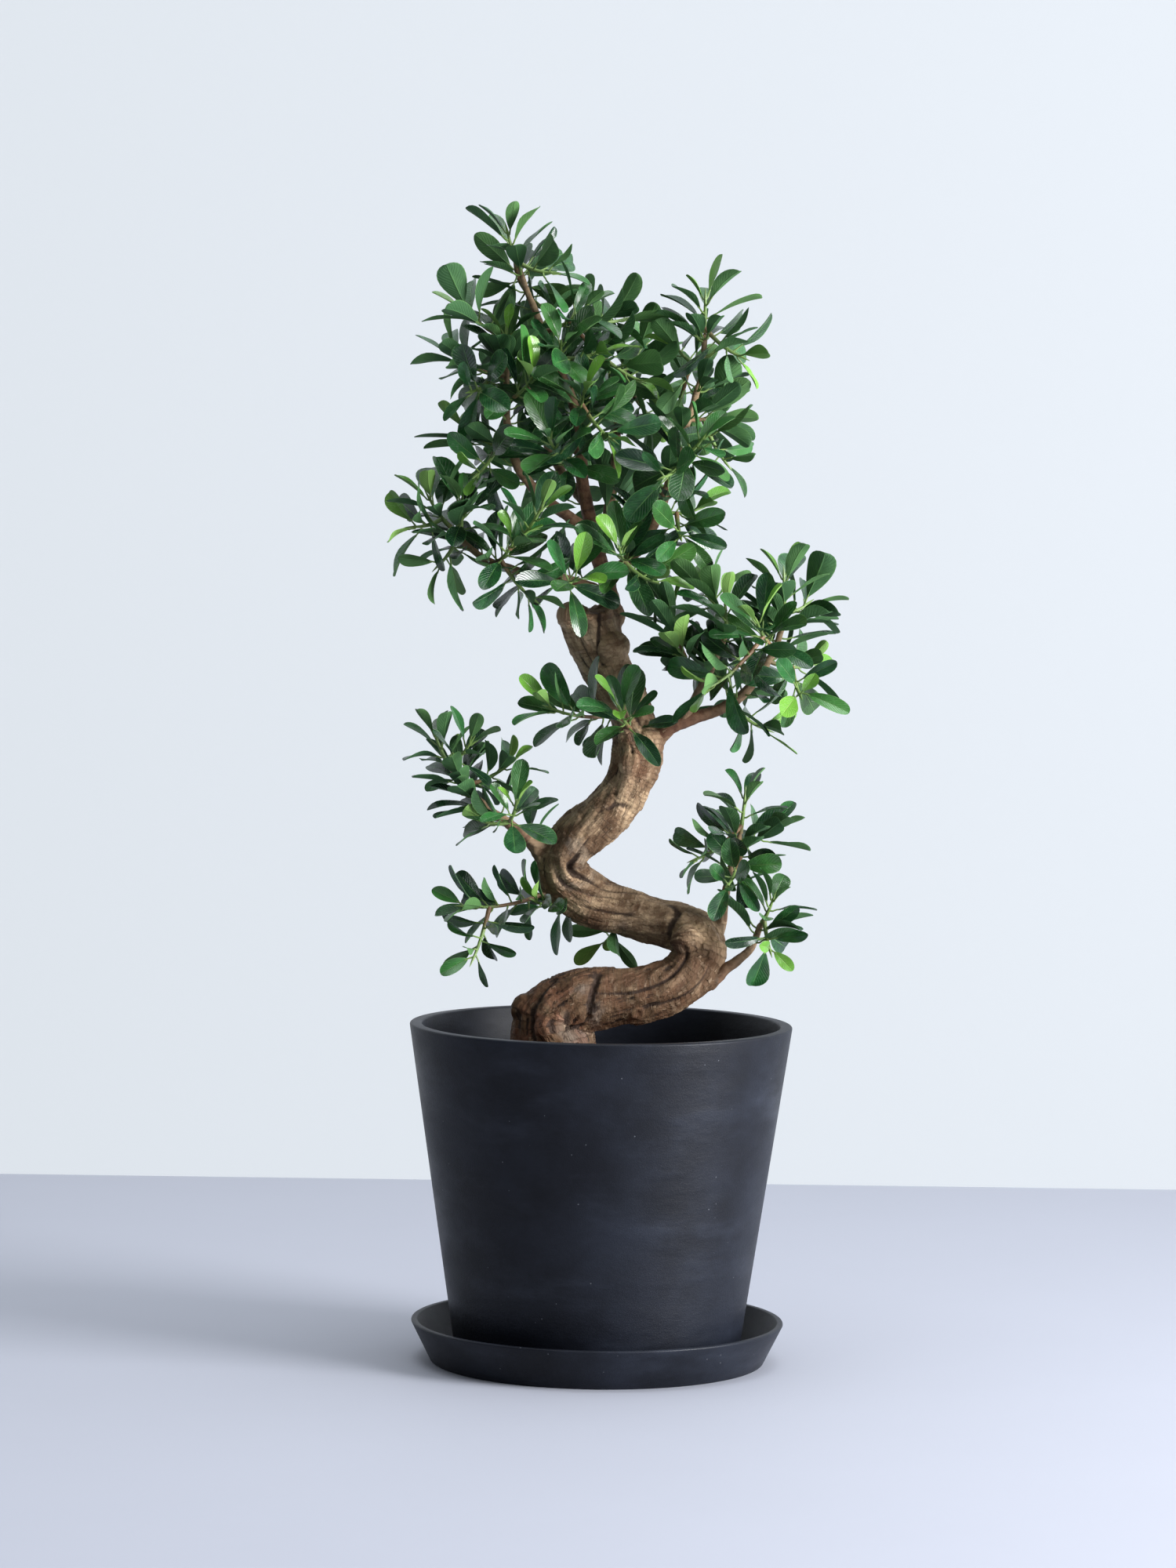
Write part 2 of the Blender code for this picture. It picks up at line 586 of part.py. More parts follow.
def grow_leaves(line, count, taken, own, dice):
    """Leaves in a spiral round the outer part of a stem, turned or shortened where there is no room."""
    leaves = []
    turn = dice.uniform(0, math.tau)
    stem = smooth_line(line, 3)
    for index in range(count):
        position = min(len(stem) - 2, round((1.0 - LEAFY_SHARE * index / count) * (len(stem) - 1)))
        place = stem[position]
        axis = (Vector(place[:3]) - Vector(stem[max(0, position - 2)][:3])).normalized()
        side = axis.orthogonal().normalized()
        spread = math.radians(34 + 40 * index / count + dice.uniform(-6, 6))
        length = LEAF_LENGTH * dice.uniform(0.86, 1.1) * (0.86 if index == 0 else 1.0)
        width = LEAF_WIDTH * dice.uniform(0.9, 1.1)
        for attempt in range(LEAF_TRIES):
            swing = turn + LEAF_SWING * ((attempt + 1) // 2) * (1 if attempt % 2 else -1)
            out = Matrix.Rotation(swing, 3, axis) @ side
            along = axis * math.cos(spread) + out * math.sin(spread)
            if along.z < -0.45:
                continue
            shorter = 1.0 - LEAF_SHRINKING * attempt
            frame = leaf_frame(Vector(place[:3]), along, axis, 0.12)
            wide = leaf_corners(frame, length * shorter + 1, width * shorter + 2 * LEAF_CLEARANCE,
                                LEAF_THICKNESS + LEAF_CLEARANCE)
            wide[0] = wide[0] + frame[1] * length * BARE_STALK
            lid = [corner + frame[3] * LEAF_CLEARANCE for corner in wide]
            shell = LEAF_FACES + [tuple(corner + len(wide) for corner in face) for face in LEAF_FACES]
            probe = BVHTree.FromPolygons([corner * MM for corner in wide + lid], shell)
            if any(probe.overlap(other) for other in taken + own):
                continue
            corners = leaf_corners(frame, length * shorter, width * shorter, LEAF_THICKNESS)
            mesh = bpy.data.meshes.new("leaf")
            mesh.from_pydata([c * MM for c in corners], [], LEAF_FACES)
            leaves.append(mesh)
            own.append(probe)
            break
        turn += GOLDEN_ANGLE
    return leaves


def plan_stems(lines, wood_trees):
    """Every shoot's stems, laid out before any leaf so that they stay clear of one another."""
    stems = {}
    used = []
    taken = []
    for name, (host, tips) in SHOOTS.items():
        stems[name] = []
        for number, tip in enumerate(tips):
            tip = Vector(tip)
            if number == 0:
                place = nearest_on(lines[host], tip, used)
                used.append(Vector(place[:3]))
                skip = place[3] + 4
            else:
                first = smooth_line(stems[name][0], 3)
                place = nearest_on(first[len(first) // 5:len(first) * 3 // 4 + 1], tip, [])
                skip = 6
            line = plan_stem(Vector(place[:3]), tip, STEM_RADII, skip, wood_trees.values(), taken)
            stems[name].append(line)
        taken += [tree_of_tube(line, 0.0) for line in stems[name]]
    return stems


def make_shoots(lines, wood_trees, clearances, material):
    dice = random.Random(SEED)
    stems = plan_stems(lines, wood_trees)
    stem_trees = {name: [tree_of_tube(line, 0.0) for line in found] for name, found in stems.items()}
    leaf_trees = []
    for name, (host, _) in SHOOTS.items():
        taken = list(wood_trees.values()) + leaf_trees
        for other, trees in stem_trees.items():
            if other != name:
                taken += trees
        own = []
        pieces = []
        for line in stems[name]:
            pieces.append(tube_mesh("stem", line, 0))
            pieces += grow_leaves(line, LEAVES_PER_TIP, taken, own, dice)
        leaf_trees += own
        shoot = add_object(name, joined_mesh(name, pieces), PARTS, material)
        add_boolean(shoot, "DIFFERENCE", clearances[host], use_self=True)


def main():
    plastic = new_material("charcoal_plastic", POT_COLOUR, 0.55)
    make_saucer(plastic)
    make_pot(plastic)
    make_drain_net(new_material("net_plastic", NET_COLOUR, 0.5))
    make_gravel(new_material("gravel", GRAVEL_COLOUR, 0.9))
    trunk = make_trunk(new_material("bark", BARK_COLOUR, 0.8))
    clearances = {"trunk": make_clearance(trunk)}
    make_soil(new_material("soil", SOIL_COLOUR, 0.95), clearances["trunk"])
    twig_wood = new_material("branch_bark", BRANCH_COLOUR, 0.7)
    lines = {"trunk": smooth_line(TRUNK, 8)[6:]}
    wood_trees = {"trunk": tree_of(clearances["trunk"].data)}
    for name, (parent, first_radius, last_radius, points) in BRANCHES.items():
        lines[name] = smooth_line(tapered(points, first_radius, last_radius), 12)
        make_branch(name, parent, lines[name], twig_wood, clearances)
        wood_trees[name] = tree_of(clearances[name].data)
    make_shoots(lines, wood_trees, clearances, new_material("leaf", LEAF_COLOUR, 0.35))


clear_scene()
PARTS = new_collection("bonsai_in_pot")
CUTTERS = new_collection("cutters")
main()
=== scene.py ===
"""The looks of a fig bonsai in its planter: bark, branches, leaves, soil and charcoal resin.

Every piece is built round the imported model. Lengths are in millimetres until they reach a mesh, and
the tables of the trunk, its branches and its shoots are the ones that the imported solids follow.
"""

import itertools
import math
import random

import bmesh
import bpy
import numpy as np
from mathutils import Matrix, Vector
from mathutils.bvhtree import BVHTree


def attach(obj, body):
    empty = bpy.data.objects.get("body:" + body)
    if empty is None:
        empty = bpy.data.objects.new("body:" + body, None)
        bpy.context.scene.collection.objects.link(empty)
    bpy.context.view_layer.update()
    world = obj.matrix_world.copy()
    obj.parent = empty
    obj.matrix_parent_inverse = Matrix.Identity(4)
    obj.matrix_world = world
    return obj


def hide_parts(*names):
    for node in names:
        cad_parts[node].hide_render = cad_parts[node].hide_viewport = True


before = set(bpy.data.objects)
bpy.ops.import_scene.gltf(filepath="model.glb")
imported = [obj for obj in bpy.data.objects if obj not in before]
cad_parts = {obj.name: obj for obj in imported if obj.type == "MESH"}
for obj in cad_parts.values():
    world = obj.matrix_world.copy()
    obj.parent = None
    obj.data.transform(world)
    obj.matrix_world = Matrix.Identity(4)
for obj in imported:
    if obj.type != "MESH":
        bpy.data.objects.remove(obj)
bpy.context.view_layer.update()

MM = 0.001
GAP = 0.3
SEED = 11
GOLDEN_ANGLE = math.pi * (3 - math.sqrt(5))
UP = np.array((0.0, 0.0, 1.0))
FRONT = np.array((0.0, -1.0, 0.0))

# The planter and its saucer
TURNED_STEPS = 192
POT_RIM_RADIUS = 150.0
POT_BASE_RADIUS = 111.5
POT_HEIGHT = 260.0
POT_WALL = 9.5
POT_FLOOR = 8.0
FOOT_RECESS = 3.0
FOOT_WIDTH = 16.0
FOOT_NOTCH_SIZE = (48.0, 9.0, 5.0)
FOOT_NOTCH_TURNS = (30, 150, 270)  # degrees round the foot ring
DRAIN_HOLE_RADIUS = 12.0
RIM_ROUNDING = 1.5
SAUCER_RIM_RADIUS = 146.0
SAUCER_BASE_RADIUS = 131.0
SAUCER_HEIGHT = 32.0
SAUCER_WALL = 5.0
GRAVEL_DEPTH = 26.0
SOIL_EDGE = 222.0
SOIL_CROWN = 234.0
MOUND_CENTRE = (-36.0, -6.0)
MOUND_REACH = 40.0
MOUND_HEIGHT = 21.0
SOIL_CRUMBS = 2400
CRUMB_SHAPES = 24
HEAP_REACH = 62.0  # of the crumbs that are heaped round the trunk

POT_BOTTOM = SAUCER_WALL + GAP
POT_TOP = POT_BOTTOM + POT_HEIGHT
POT_INSIDE_BOTTOM = POT_BOTTOM + FOOT_RECESS + POT_FLOOR
GRAVEL_TOP = POT_INSIDE_BOTTOM + GRAVEL_DEPTH

# The trunk's middle line from the buried crown of the roots to the sawn top: x, y, z and radius
TRUNK = [
    (-34, 6, 196, 26), (-36, 4, 222, 34), (-38, 0, 250, 34), (-38, -2, 268, 29), (-19, -5, 282, 26),
    (5, -7, 287, 23), (30, -9, 290, 21), (56, -9, 298, 21), (74, -4, 313, 21), (75, 5, 329, 21),
    (62, 13, 340, 20), (40, 18, 345, 18), (16, 20, 353, 18), (-9, 18, 362, 20), (-27, 12, 376, 20),
    (-32, 6, 393, 19), (-21, 0, 410, 18), (-1, -4, 428, 18), (16, -6, 450, 17), (25, -4, 474, 19),
    (23, 0, 497, 18), (16, 4, 518, 17), (4, 6, 537, 18), (-5, 6, 556, 20), (-11, 4, 573, 22),
    (-15, 2, 588, 22),
]
# Swellings where old branches were cut off: x, y, z and radius
KNOTS = [
    (-58, -6, 276, 13), (-40, -30, 262, 12), (84, -12, 322, 13), (66, -14, 334, 12), (-44, 8, 402, 11),
    (34, -14, 486, 11), (4, -10, 560, 12), (-27, -6, 584, 12), (2, 4, 584, 12), (20, -16, 470, 10),
]
# Buried roots: the direction in degrees and how far each reaches from the crown
ROOTS = ((20, 88), (75, 76), (130, 56), (190, 48), (245, 60), (310, 80))
ROOT_DROP = 34.0
ROOT_RADII = (12.0, 3.5)

# Creases and ridges along the trunk: height, half its width, and its way as (place in TRUNK, degrees
# round the trunk, from its front to the right hand of someone who climbs it)
FOLDS = [
    (-2.0, 1.7, [(25.0, 24), (24.2, 14), (23.4, 2), (22.8, -4)]),
    (1.8, 6.0, [(25.0, 52), (24.0, 44), (22.6, 34), (21.4, 30)]),
    (-1.2, 1.3, [(24.8, -38), (23.6, -30), (22.2, -22), (21.2, -14)]),
    (-1.6, 1.6, [(20.6, 78), (20.0, 52), (19.3, 24), (18.7, 4)]),
    (-1.3, 1.3, [(20.4, 48), (19.9, 22), (19.3, -4), (18.9, -20)]),
    (1.6, 5.0, [(20.6, 62), (20.0, 38), (19.3, 10), (18.8, -8)]),
    (-1.5, 2.6, [(18.3, 96), (17.7, 62), (17.6, 8), (16.8, -24), (16.6, -62)]),
    (2.2, 5.5, [(18.0, 92), (17.6, 48), (17.1, 4), (16.6, -40)]),
    (-1.2, 1.2, [(19.6, -34), (18.8, -42), (18.0, -56), (17.2, -78)]),
    (-3.2, 2.3, [(15.9, 34), (15.3, 22), (14.7, 26), (14.0, 40)]),
    (-2.2, 1.7, [(15.2, -16), (14.6, -10), (13.9, 2), (13.0, 16), (12.2, 34), (11.4, 52)]),
    (-2.0, 1.5, [(14.4, 36), (13.6, 34), (12.8, 40), (12.0, 56), (11.2, 74)]),
    (1.8, 5.0, [(14.6, 8), (13.8, 14), (12.9, 26), (12.0, 42), (11.2, 58)]),
    (-1.4, 1.3, [(13.8, -26), (12.9, -16), (12.0, -6), (11.0, 6)]),
    (-1.7, 3.0, [(10.7, 70), (10.1, 34), (10.2, -6), (9.8, -50)]),
    (-2.0, 1.6, [(9.0, -70), (8.4, -48), (7.6, -30), (6.6, -16), (5.6, -10), (4.6, -16)]),
    (1.8, 5.5, [(9.2, -40), (8.4, -22), (7.4, -4), (6.4, 4)]),
    (-1.5, 1.4, [(8.6, 10), (7.8, 22), (6.8, 30), (5.8, 26), (4.8, 34)]),
    (-3.0, 2.4, [(4.9, -64), (4.7, -30), (4.5, 0), (4.3, 34)]),
    (-2.2, 1.8, [(3.9, -70), (3.4, -46), (2.8, -30), (2.2, -22)]),
    (-2.4, 1.9, [(4.2, 44), (3.6, 30), (3.0, 16), (2.3, 6)]),
    (2.4, 5.0, [(4.4, 20), (3.7, 6), (3.0, -8), (2.2, -12)]),
    (-1.8, 1.6, [(3.6, 74), (3.0, 56), (2.4, 44)]),
]
RANDOM_CREASES = 46
TRUNK_VOXEL = 1.3
COLLAR_LENGTH = 34  # of the swollen foot of a branch, which belongs to the trunk
TRUNK_SPACING = 25.0  # between the places in TRUNK
DEGREE_ARC = 0.33  # of a turn of one degree round the trunk
# Ring scars where twigs dropped off: place in TRUNK, degrees round it, radius of the ring, height
SCARS = [(22.55, -4, 4.6, 1.5), (24.4, -52, 3.6, 1.0), (17.8, -18, 3.2, 0.9), (13.2, 64, 3.4, 0.9),
         (5.9, 38, 4.0, 1.0), (7.6, 52, 3.2, 1.0), (19.5, -60, 3.4, 0.9), (11.6, 20, 3.0, 0.8)]
# How rough, how dark and how red the bark is at places in TRUNK
BARK_ROUGHNESS = ((0, 1.5), (4, 1.5), (5, 1.1), (8, 1.0), (9, 0.45), (12, 0.6), (15, 1.0), (18, 0.75),
                  (20, 0.9), (22, 0.45), (24, 0.7), (25, 1.2))
BARK_DARKNESS = ((0, 1.25), (4, 1.20), (6, 1.10), (8, 0.95), (9.2, 0.25), (10.5, 0.6), (13, 0.62), (15, 0.78),
                 (18, 0.45), (20, 0.55), (22, 0.25), (24, 0.35), (25, 0.6))
BARK_REDNESS = ((0, 0.85), (3.5, 0.75), (4.6, 0.3), (6, 0.35), (9, 0.05), (14, 0.15), (18, 0.1), (19.3, 0.55),
                (20.4, 0.6), (21.5, 0.1), (24, 0.1), (25, 0.6))

# Branches: the wood that each grows from, its radius at both ends, and its middle line
BRANCHES = {
    "crown_leader": ("trunk", 7.5, 2.0, [
        (-3, 4, 568), (3, 2, 592), (-1, 2, 612), (-7, 4, 630), (-12, 6, 650), (-19, 8, 683),
        (-23, 8, 713), (-26, 6, 741), (-36, 4, 768), (-50, 2, 799), (-61, 0, 826), (-72, 0, 854)]),
    "right_leader": ("crown_leader", 5.0, 2.0, [
        (-1, 2, 612), (12, -4, 625), (27, -10, 640), (38, -16, 662), (47, -18, 689), (55, -16, 720),
        (65, -12, 750), (72, -10, 778), (73, -8, 805)]),
    "left_leader": ("crown_leader", 5.0, 2.0, [
        (-11, 5, 646), (-34, -8, 664), (-57, -18, 682), (-72, -25, 702), (-78, -27, 728),
        (-80, -26, 756), (-80, -24, 782)]),
    "far_left_branch": ("crown_leader", 4.5, 2.0, [
        (3, 2, 598), (-16, -8, 608), (-38, -18, 614), (-64, -27, 618), (-88, -34, 625), (-106, -38, 636),
        (-121, -40, 652)]),
    "back_leader": ("crown_leader", 5.0, 2.0, [
        (-7, 4, 630), (-2, 24, 650), (3, 42, 684), (6, 52, 716), (6, 57, 744), (5, 60, 771)]),
    "back_left_branch": ("crown_leader", 4.5, 2.0, [
        (-17, 8, 672), (-36, 32, 695), (-52, 48, 726), (-62, 56, 758)]),
    "middle_left_branch": ("trunk", 6.0, 2.0, [
        (-36, 4, 392), (-50, 0, 402), (-62, -6, 413), (-80, -12, 426), (-98, -16, 441), (-116, -18, 460)]),
    "right_branch": ("trunk", 7.0, 2.0, [
        (26, -2, 478), (38, -8, 488), (50, -13, 498), (70, -16, 507), (92, -18, 515), (112, -18, 531),
        (129, -16, 557), (139, -12, 584)]),
    "right_inner_branch": ("right_branch", 4.0, 2.0, [
        (60, -15, 503), (72, -24, 527), (84, -32, 551), (93, -36, 573)]),
    "knee_branch": ("trunk", 5.0, 2.0, [
        (80, 2, 326), (92, 6, 342), (96, 8, 366), (101, 6, 392), (107, 4, 416)]),
    "low_right_branch": ("trunk", 6.0, 2.2, [
        (66, -10, 298), (84, -14, 300), (98, -16, 312), (114, -18, 326), (124, -18, 348)]),
}

# Leafy shoots: the wood that each grows from and the tips of its stems, which fork from the first
SHOOTS = {
    "crown_shoot_top": ("crown_leader", [(-81, -5, 881), (-46, -10, 850), (-55, 30, 826)]),
    "crown_shoot_right": ("crown_leader", [(-21, -20, 822), (13, 5, 816), (22, -10, 768)]),
    "crown_shoot_front": ("crown_leader", [(-38, -45, 793), (-11, -30, 788)]),
    "crown_shoot_middle": ("crown_leader", [(-20, -60, 757), (2, -55, 721)]),
    "crown_shoot_left": ("crown_leader", [(-46, -70, 720)]),
    "crown_shoot_low": ("far_left_branch", [(-24, -60, 614)]),
    "crown_shoot_low_right": ("right_leader", [(9, -60, 637), (36, -36, 612)]),
    "right_leader_shoot_top": ("right_leader", [(73, -10, 832), (101, -15, 787)]),
    "right_leader_shoot_inner": ("right_leader", [(50, 12, 796), (51, 40, 742)]),
    "right_leader_shoot_outer": ("right_leader", [(88, 26, 748), (91, 0, 705)]),
    "right_leader_shoot_front": ("right_leader", [(71, -50, 722), (41, -65, 692)]),
    "right_leader_shoot_low": ("right_leader", [(68, -14, 668), (56, -44, 646)]),
    "left_leader_shoot_top": ("left_leader", [(-81, -25, 802), (-116, -15, 824)]),
    "left_leader_shoot_outer": ("left_leader", [(-124, -10, 787), (-107, -50, 756)]),
    "left_leader_shoot_front": ("left_leader", [(-59, -60, 768)]),
    "left_leader_shoot_low": ("left_leader", [(-111, -16, 726), (-101, -44, 693)]),
    "far_left_shoot_tip": ("far_left_branch", [(-138, -40, 674), (-149, -45, 652)]),
    "far_left_shoot_middle": ("far_left_branch", [(-112, -56, 672), (-130, -40, 623)]),
    "far_left_shoot_front": ("far_left_branch", [(-72, -70, 642), (-57, -52, 598), (-51, -82, 668)]),
    "back_shoot_right": ("back_leader", [(26, 75, 798), (39, 80, 736)]),
    "back_shoot_top": ("back_leader", [(-11, 80, 804), (-26, 92, 732)]),
    "back_shoot_low": ("back_leader", [(9, 78, 676)]),
    "back_left_shoot_top": ("back_left_branch", [(-61, 84, 802), (-86, 72, 750)]),
    "back_left_shoot_low": ("back_left_branch", [(-82, 58, 694)]),
    "right_branch_shoot_tip": ("right_branch", [(137, -14, 618), (156, 0, 596)]),
    "right_branch_shoot_outer": ("right_branch", [(157, -8, 548), (150, -40, 526)]),
    "right_branch_shoot_front": ("right_branch", [(115, -60, 583), (78, -68, 532)]),
    "right_branch_shoot_hanging": ("right_branch", [(124, -20, 499), (97, 20, 538)]),
    "right_inner_shoot_tip": ("right_inner_branch", [(91, -42, 596), (72, -18, 610)]),
    "right_inner_shoot_left": ("right_inner_branch", [(56, -50, 560), (50, -22, 590)]),
    "trunk_shoot_front": ("trunk", [(11, -56, 514)]),
    "trunk_shoot_left": ("trunk", [(-43, -44, 514)]),
    "middle_left_shoot_tip": ("middle_left_branch", [(-132, -20, 490), (-104, -36, 486)]),
    "middle_left_shoot_back": ("middle_left_branch", [(-118, 6, 466), (-72, -6, 470)]),
    "middle_left_shoot_front": ("middle_left_branch", [(-68, -54, 440), (-92, -28, 424)]),
    "low_left_shoot_outer": ("trunk", [(-108, -24, 358), (-100, -30, 318)]),
    "low_left_shoot_inner": ("trunk", [(-53, -14, 362)]),
    "knee_shoot_top": ("knee_branch", [(110, 0, 446), (72, -10, 396)]),
    "knee_shoot_right": ("knee_branch", [(134, 12, 420), (96, -40, 378)]),
    "low_right_shoot": ("low_right_branch", [(132, -24, 366), (130, -36, 328)]),
    "low_back_shoot": ("trunk", [(3, 44, 326)]),
}
STEM_RADII = (1.9, 1.0)
LEAF_SPACING = 4.0
LEAF_LENGTH = 37.0
LEAFY_SHARE = 0.88  # of a stem, from its tip down
LONGEST_LEAFY = 72.0
LEAF_LIFT = 0.30  # how strongly leaves turn up to the light
FRESH_SHARE = 0.5  # of the stems have young leaves at the tip
YOUNG_LEAVES = 2
MOST_TRIES = 14  # of ways to turn a leaf until it finds room
HOST_LEAVES = 7  # on the branch round the foot of a shoot
THICKEST_LEAFY = 5.2  # radius of the thickest wood with leaves of its own
SMALL_LEAVED = ("low_", "knee_", "middle_left")  # shoots whose leaves are smaller than the others'
SMALL_LEAF_SHARE = 0.82

# The room, in metres
FLOOR_REACH = 8
WALL_HEIGHT = 5
WALL_Y = 1.0
BRIGHT_SIDE = (0.72, 0.30, 0.62)  # where most of the room's own light comes from
CAMERA_PLACE = (-0.0128, -3.7, 0.66)
CAMERA_PITCH = 3.2
CAMERA_ROLL = 0.78
CAMERA_LENS = 108.9


# ---- Numbers: smooth lines, frames along them, and noise ----

def smooth_line(points, spacing):
    """An array of points a few millimetres apart on a smooth curve through the given ones."""
    known = np.array(points, float)
    ends = np.vstack([2 * known[0] - known[1], known, 2 * known[-1] - known[-2]])
    line = [known[0]]
    for before, start, end, after in zip(ends, ends[1:], ends[2:], ends[3:]):
        pieces = max(1, round(np.linalg.norm(end[:3] - start[:3]) / spacing))
        for t in np.arange(1, pieces + 1) / pieces:
            line.append(0.5 * (2 * start + (end - before) * t
                               + (2 * before - 5 * start + 4 * end - after) * t * t
                               + (3 * start - before - 3 * end + after) * t ** 3))
    return np.array(line)


def tapered(points, first_radius, last_radius):
    """The points with a radius each, falling from the first to the last."""
    return np.column_stack([points, np.linspace(first_radius, last_radius, len(points))])


def unit(vectors):
    return vectors / np.linalg.norm(vectors, axis=-1, keepdims=True)


def distances_along(line):
    """How far along a line each of its points is."""
    steps = np.linalg.norm(np.diff(line[:, :3], axis=0), axis=1)
    return np.concatenate([[0.0], np.cumsum(steps)])


def frames_along(line):
    """At each point of a line: its front and its right-hand side, without a twist between them."""
    along = unit(np.gradient(line[:, :3], axis=0))
    front = np.empty_like(along)
    last = FRONT if abs(along[0] @ FRONT) < 0.9 else UP
    for index, direction in enumerate(along):
        last = unit(last - direction * (last @ direction))
        front[index] = last
    return front, np.cross(along, front)


def fixed_frames_along(line):
    """The same, where the front always looks towards -Y as far as it can."""
    along = unit(np.gradient(line[:, :3], axis=0))
    front = unit(FRONT - along * (along @ FRONT)[:, None])
    return front, np.cross(along, front)


def value_noise(points, seed):
    """Smooth noise from -1 to 1 whose bumps are about one unit apart."""
    table = np.random.default_rng(seed).uniform(-1, 1, 4096)
    cell = np.floor(points).astype(np.int64)
    share = points - cell
    share = share * share * (3 - 2 * share)
    total = np.zeros(len(points))
    for corner in itertools.product((0, 1), repeat=3):
        place = (cell + corner) @ np.array((7349, 9151, 104729))
        weight = np.prod(np.where(corner, share, 1 - share), axis=1)
        total += table[place % len(table)] * weight
    return total


def fractal(points, size, seed, octaves=3):
    """Noise with finer and weaker noise on top; size is its bumps' size along each axis."""
    total = np.zeros(len(points))
    for octave in range(octaves):
        total += value_noise(points * 2 ** octave / np.array(size), seed + octave) / 2 ** octave
    return total


def soft_step(values, low, high):
    share = np.clip((values - low) / (high - low), 0, 1)
    return share * share * (3 - 2 * share)


# ---- Meshes ----

def placed(name, data):
    """A new object in the scene."""
    made = bpy.data.objects.new(name, data)
    bpy.context.scene.collection.objects.link(made)
    return made


def ring_faces(rings, sides):
    """The four-cornered faces between rings of points that follow one another."""
    faces = []
    for low in range(0, (rings - 1) * sides, sides):
        high = low + sides
        for column in range(sides):
            turn = (column + 1) % sides
            faces.append((low + column, low + turn, high + turn, high + column))
    return faces


def tube_parts(line, sides, relief=None):
    """Points and faces of a closed tube along (x, y, z, radius) rows, its radius grown by `relief`."""
    front, side = frames_along(line)
    angles = np.arange(sides) * math.tau / sides
    ring = front[:, None] * np.cos(angles)[:, None] + side[:, None] * np.sin(angles)[:, None]
    radii = np.repeat(line[:, 3:4], sides, axis=1)
    if relief is not None:
        radii = radii + relief
    points = (line[:, None, :3] + ring * radii[..., None]).reshape(-1, 3)
    faces = ring_faces(len(line), sides)
    faces.append(tuple(range(sides - 1, -1, -1)))
    faces.append(tuple(range(len(points) - sides, len(points))))
    return points, faces


class Parts:
    """Points, faces and what the shaders need of them, gathered into one mesh."""

    def __init__(self):
        self.points, self.faces, self.kinds, self.values = [], [], [], {}
        self.count = 0

    def add(self, points, faces, kinds=0, **values):
        self.points.append(points)
        self.faces += [tuple(corner + self.count for corner in face) for face in faces]
        self.kinds += list(kinds) if np.ndim(kinds) else [kinds] * len(faces)
        for name, value in values.items():
            shape = (len(points), *np.shape(value)[1:])
            self.values.setdefault(name, []).append(np.broadcast_to(value, shape))
        self.count += len(points)

    def mesh(self, name):
        mesh = bpy.data.meshes.new(name)
        mesh.from_pydata((np.vstack(self.points) * MM).tolist(), [], self.faces)
        mesh.polygons.foreach_set("material_index", self.kinds)
        for title, rows in self.values.items():
            add_values(mesh, title, np.concatenate(rows))
        return mesh


def add_values(mesh, name, values):
    """A value for each point, a number or a vector, that the shaders read by name."""
    vector = np.ndim(values) == 2
    attribute = mesh.attributes.new(name, "FLOAT_VECTOR" if vector else "FLOAT", "POINT")
    attribute.data.foreach_set("vector" if vector else "value", values.astype(np.float32).ravel())


def show(node, mesh, slot, *materials, sharp=35):
    """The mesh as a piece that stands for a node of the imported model."""
    for material in materials:
        mesh.materials.append(material)
    mesh.shade_smooth()
    mesh.set_sharp_from_angle(angle=math.radians(sharp))
    piece = placed(f"{node}_detailed", mesh)
    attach(piece, "root")
    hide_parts(node)


def evaluated_mesh(obj):
    bpy.context.view_layer.update()
    evaluated = obj.evaluated_get(bpy.context.evaluated_depsgraph_get())
    return bpy.data.meshes.new_from_object(evaluated)


# ---- Shaders ----

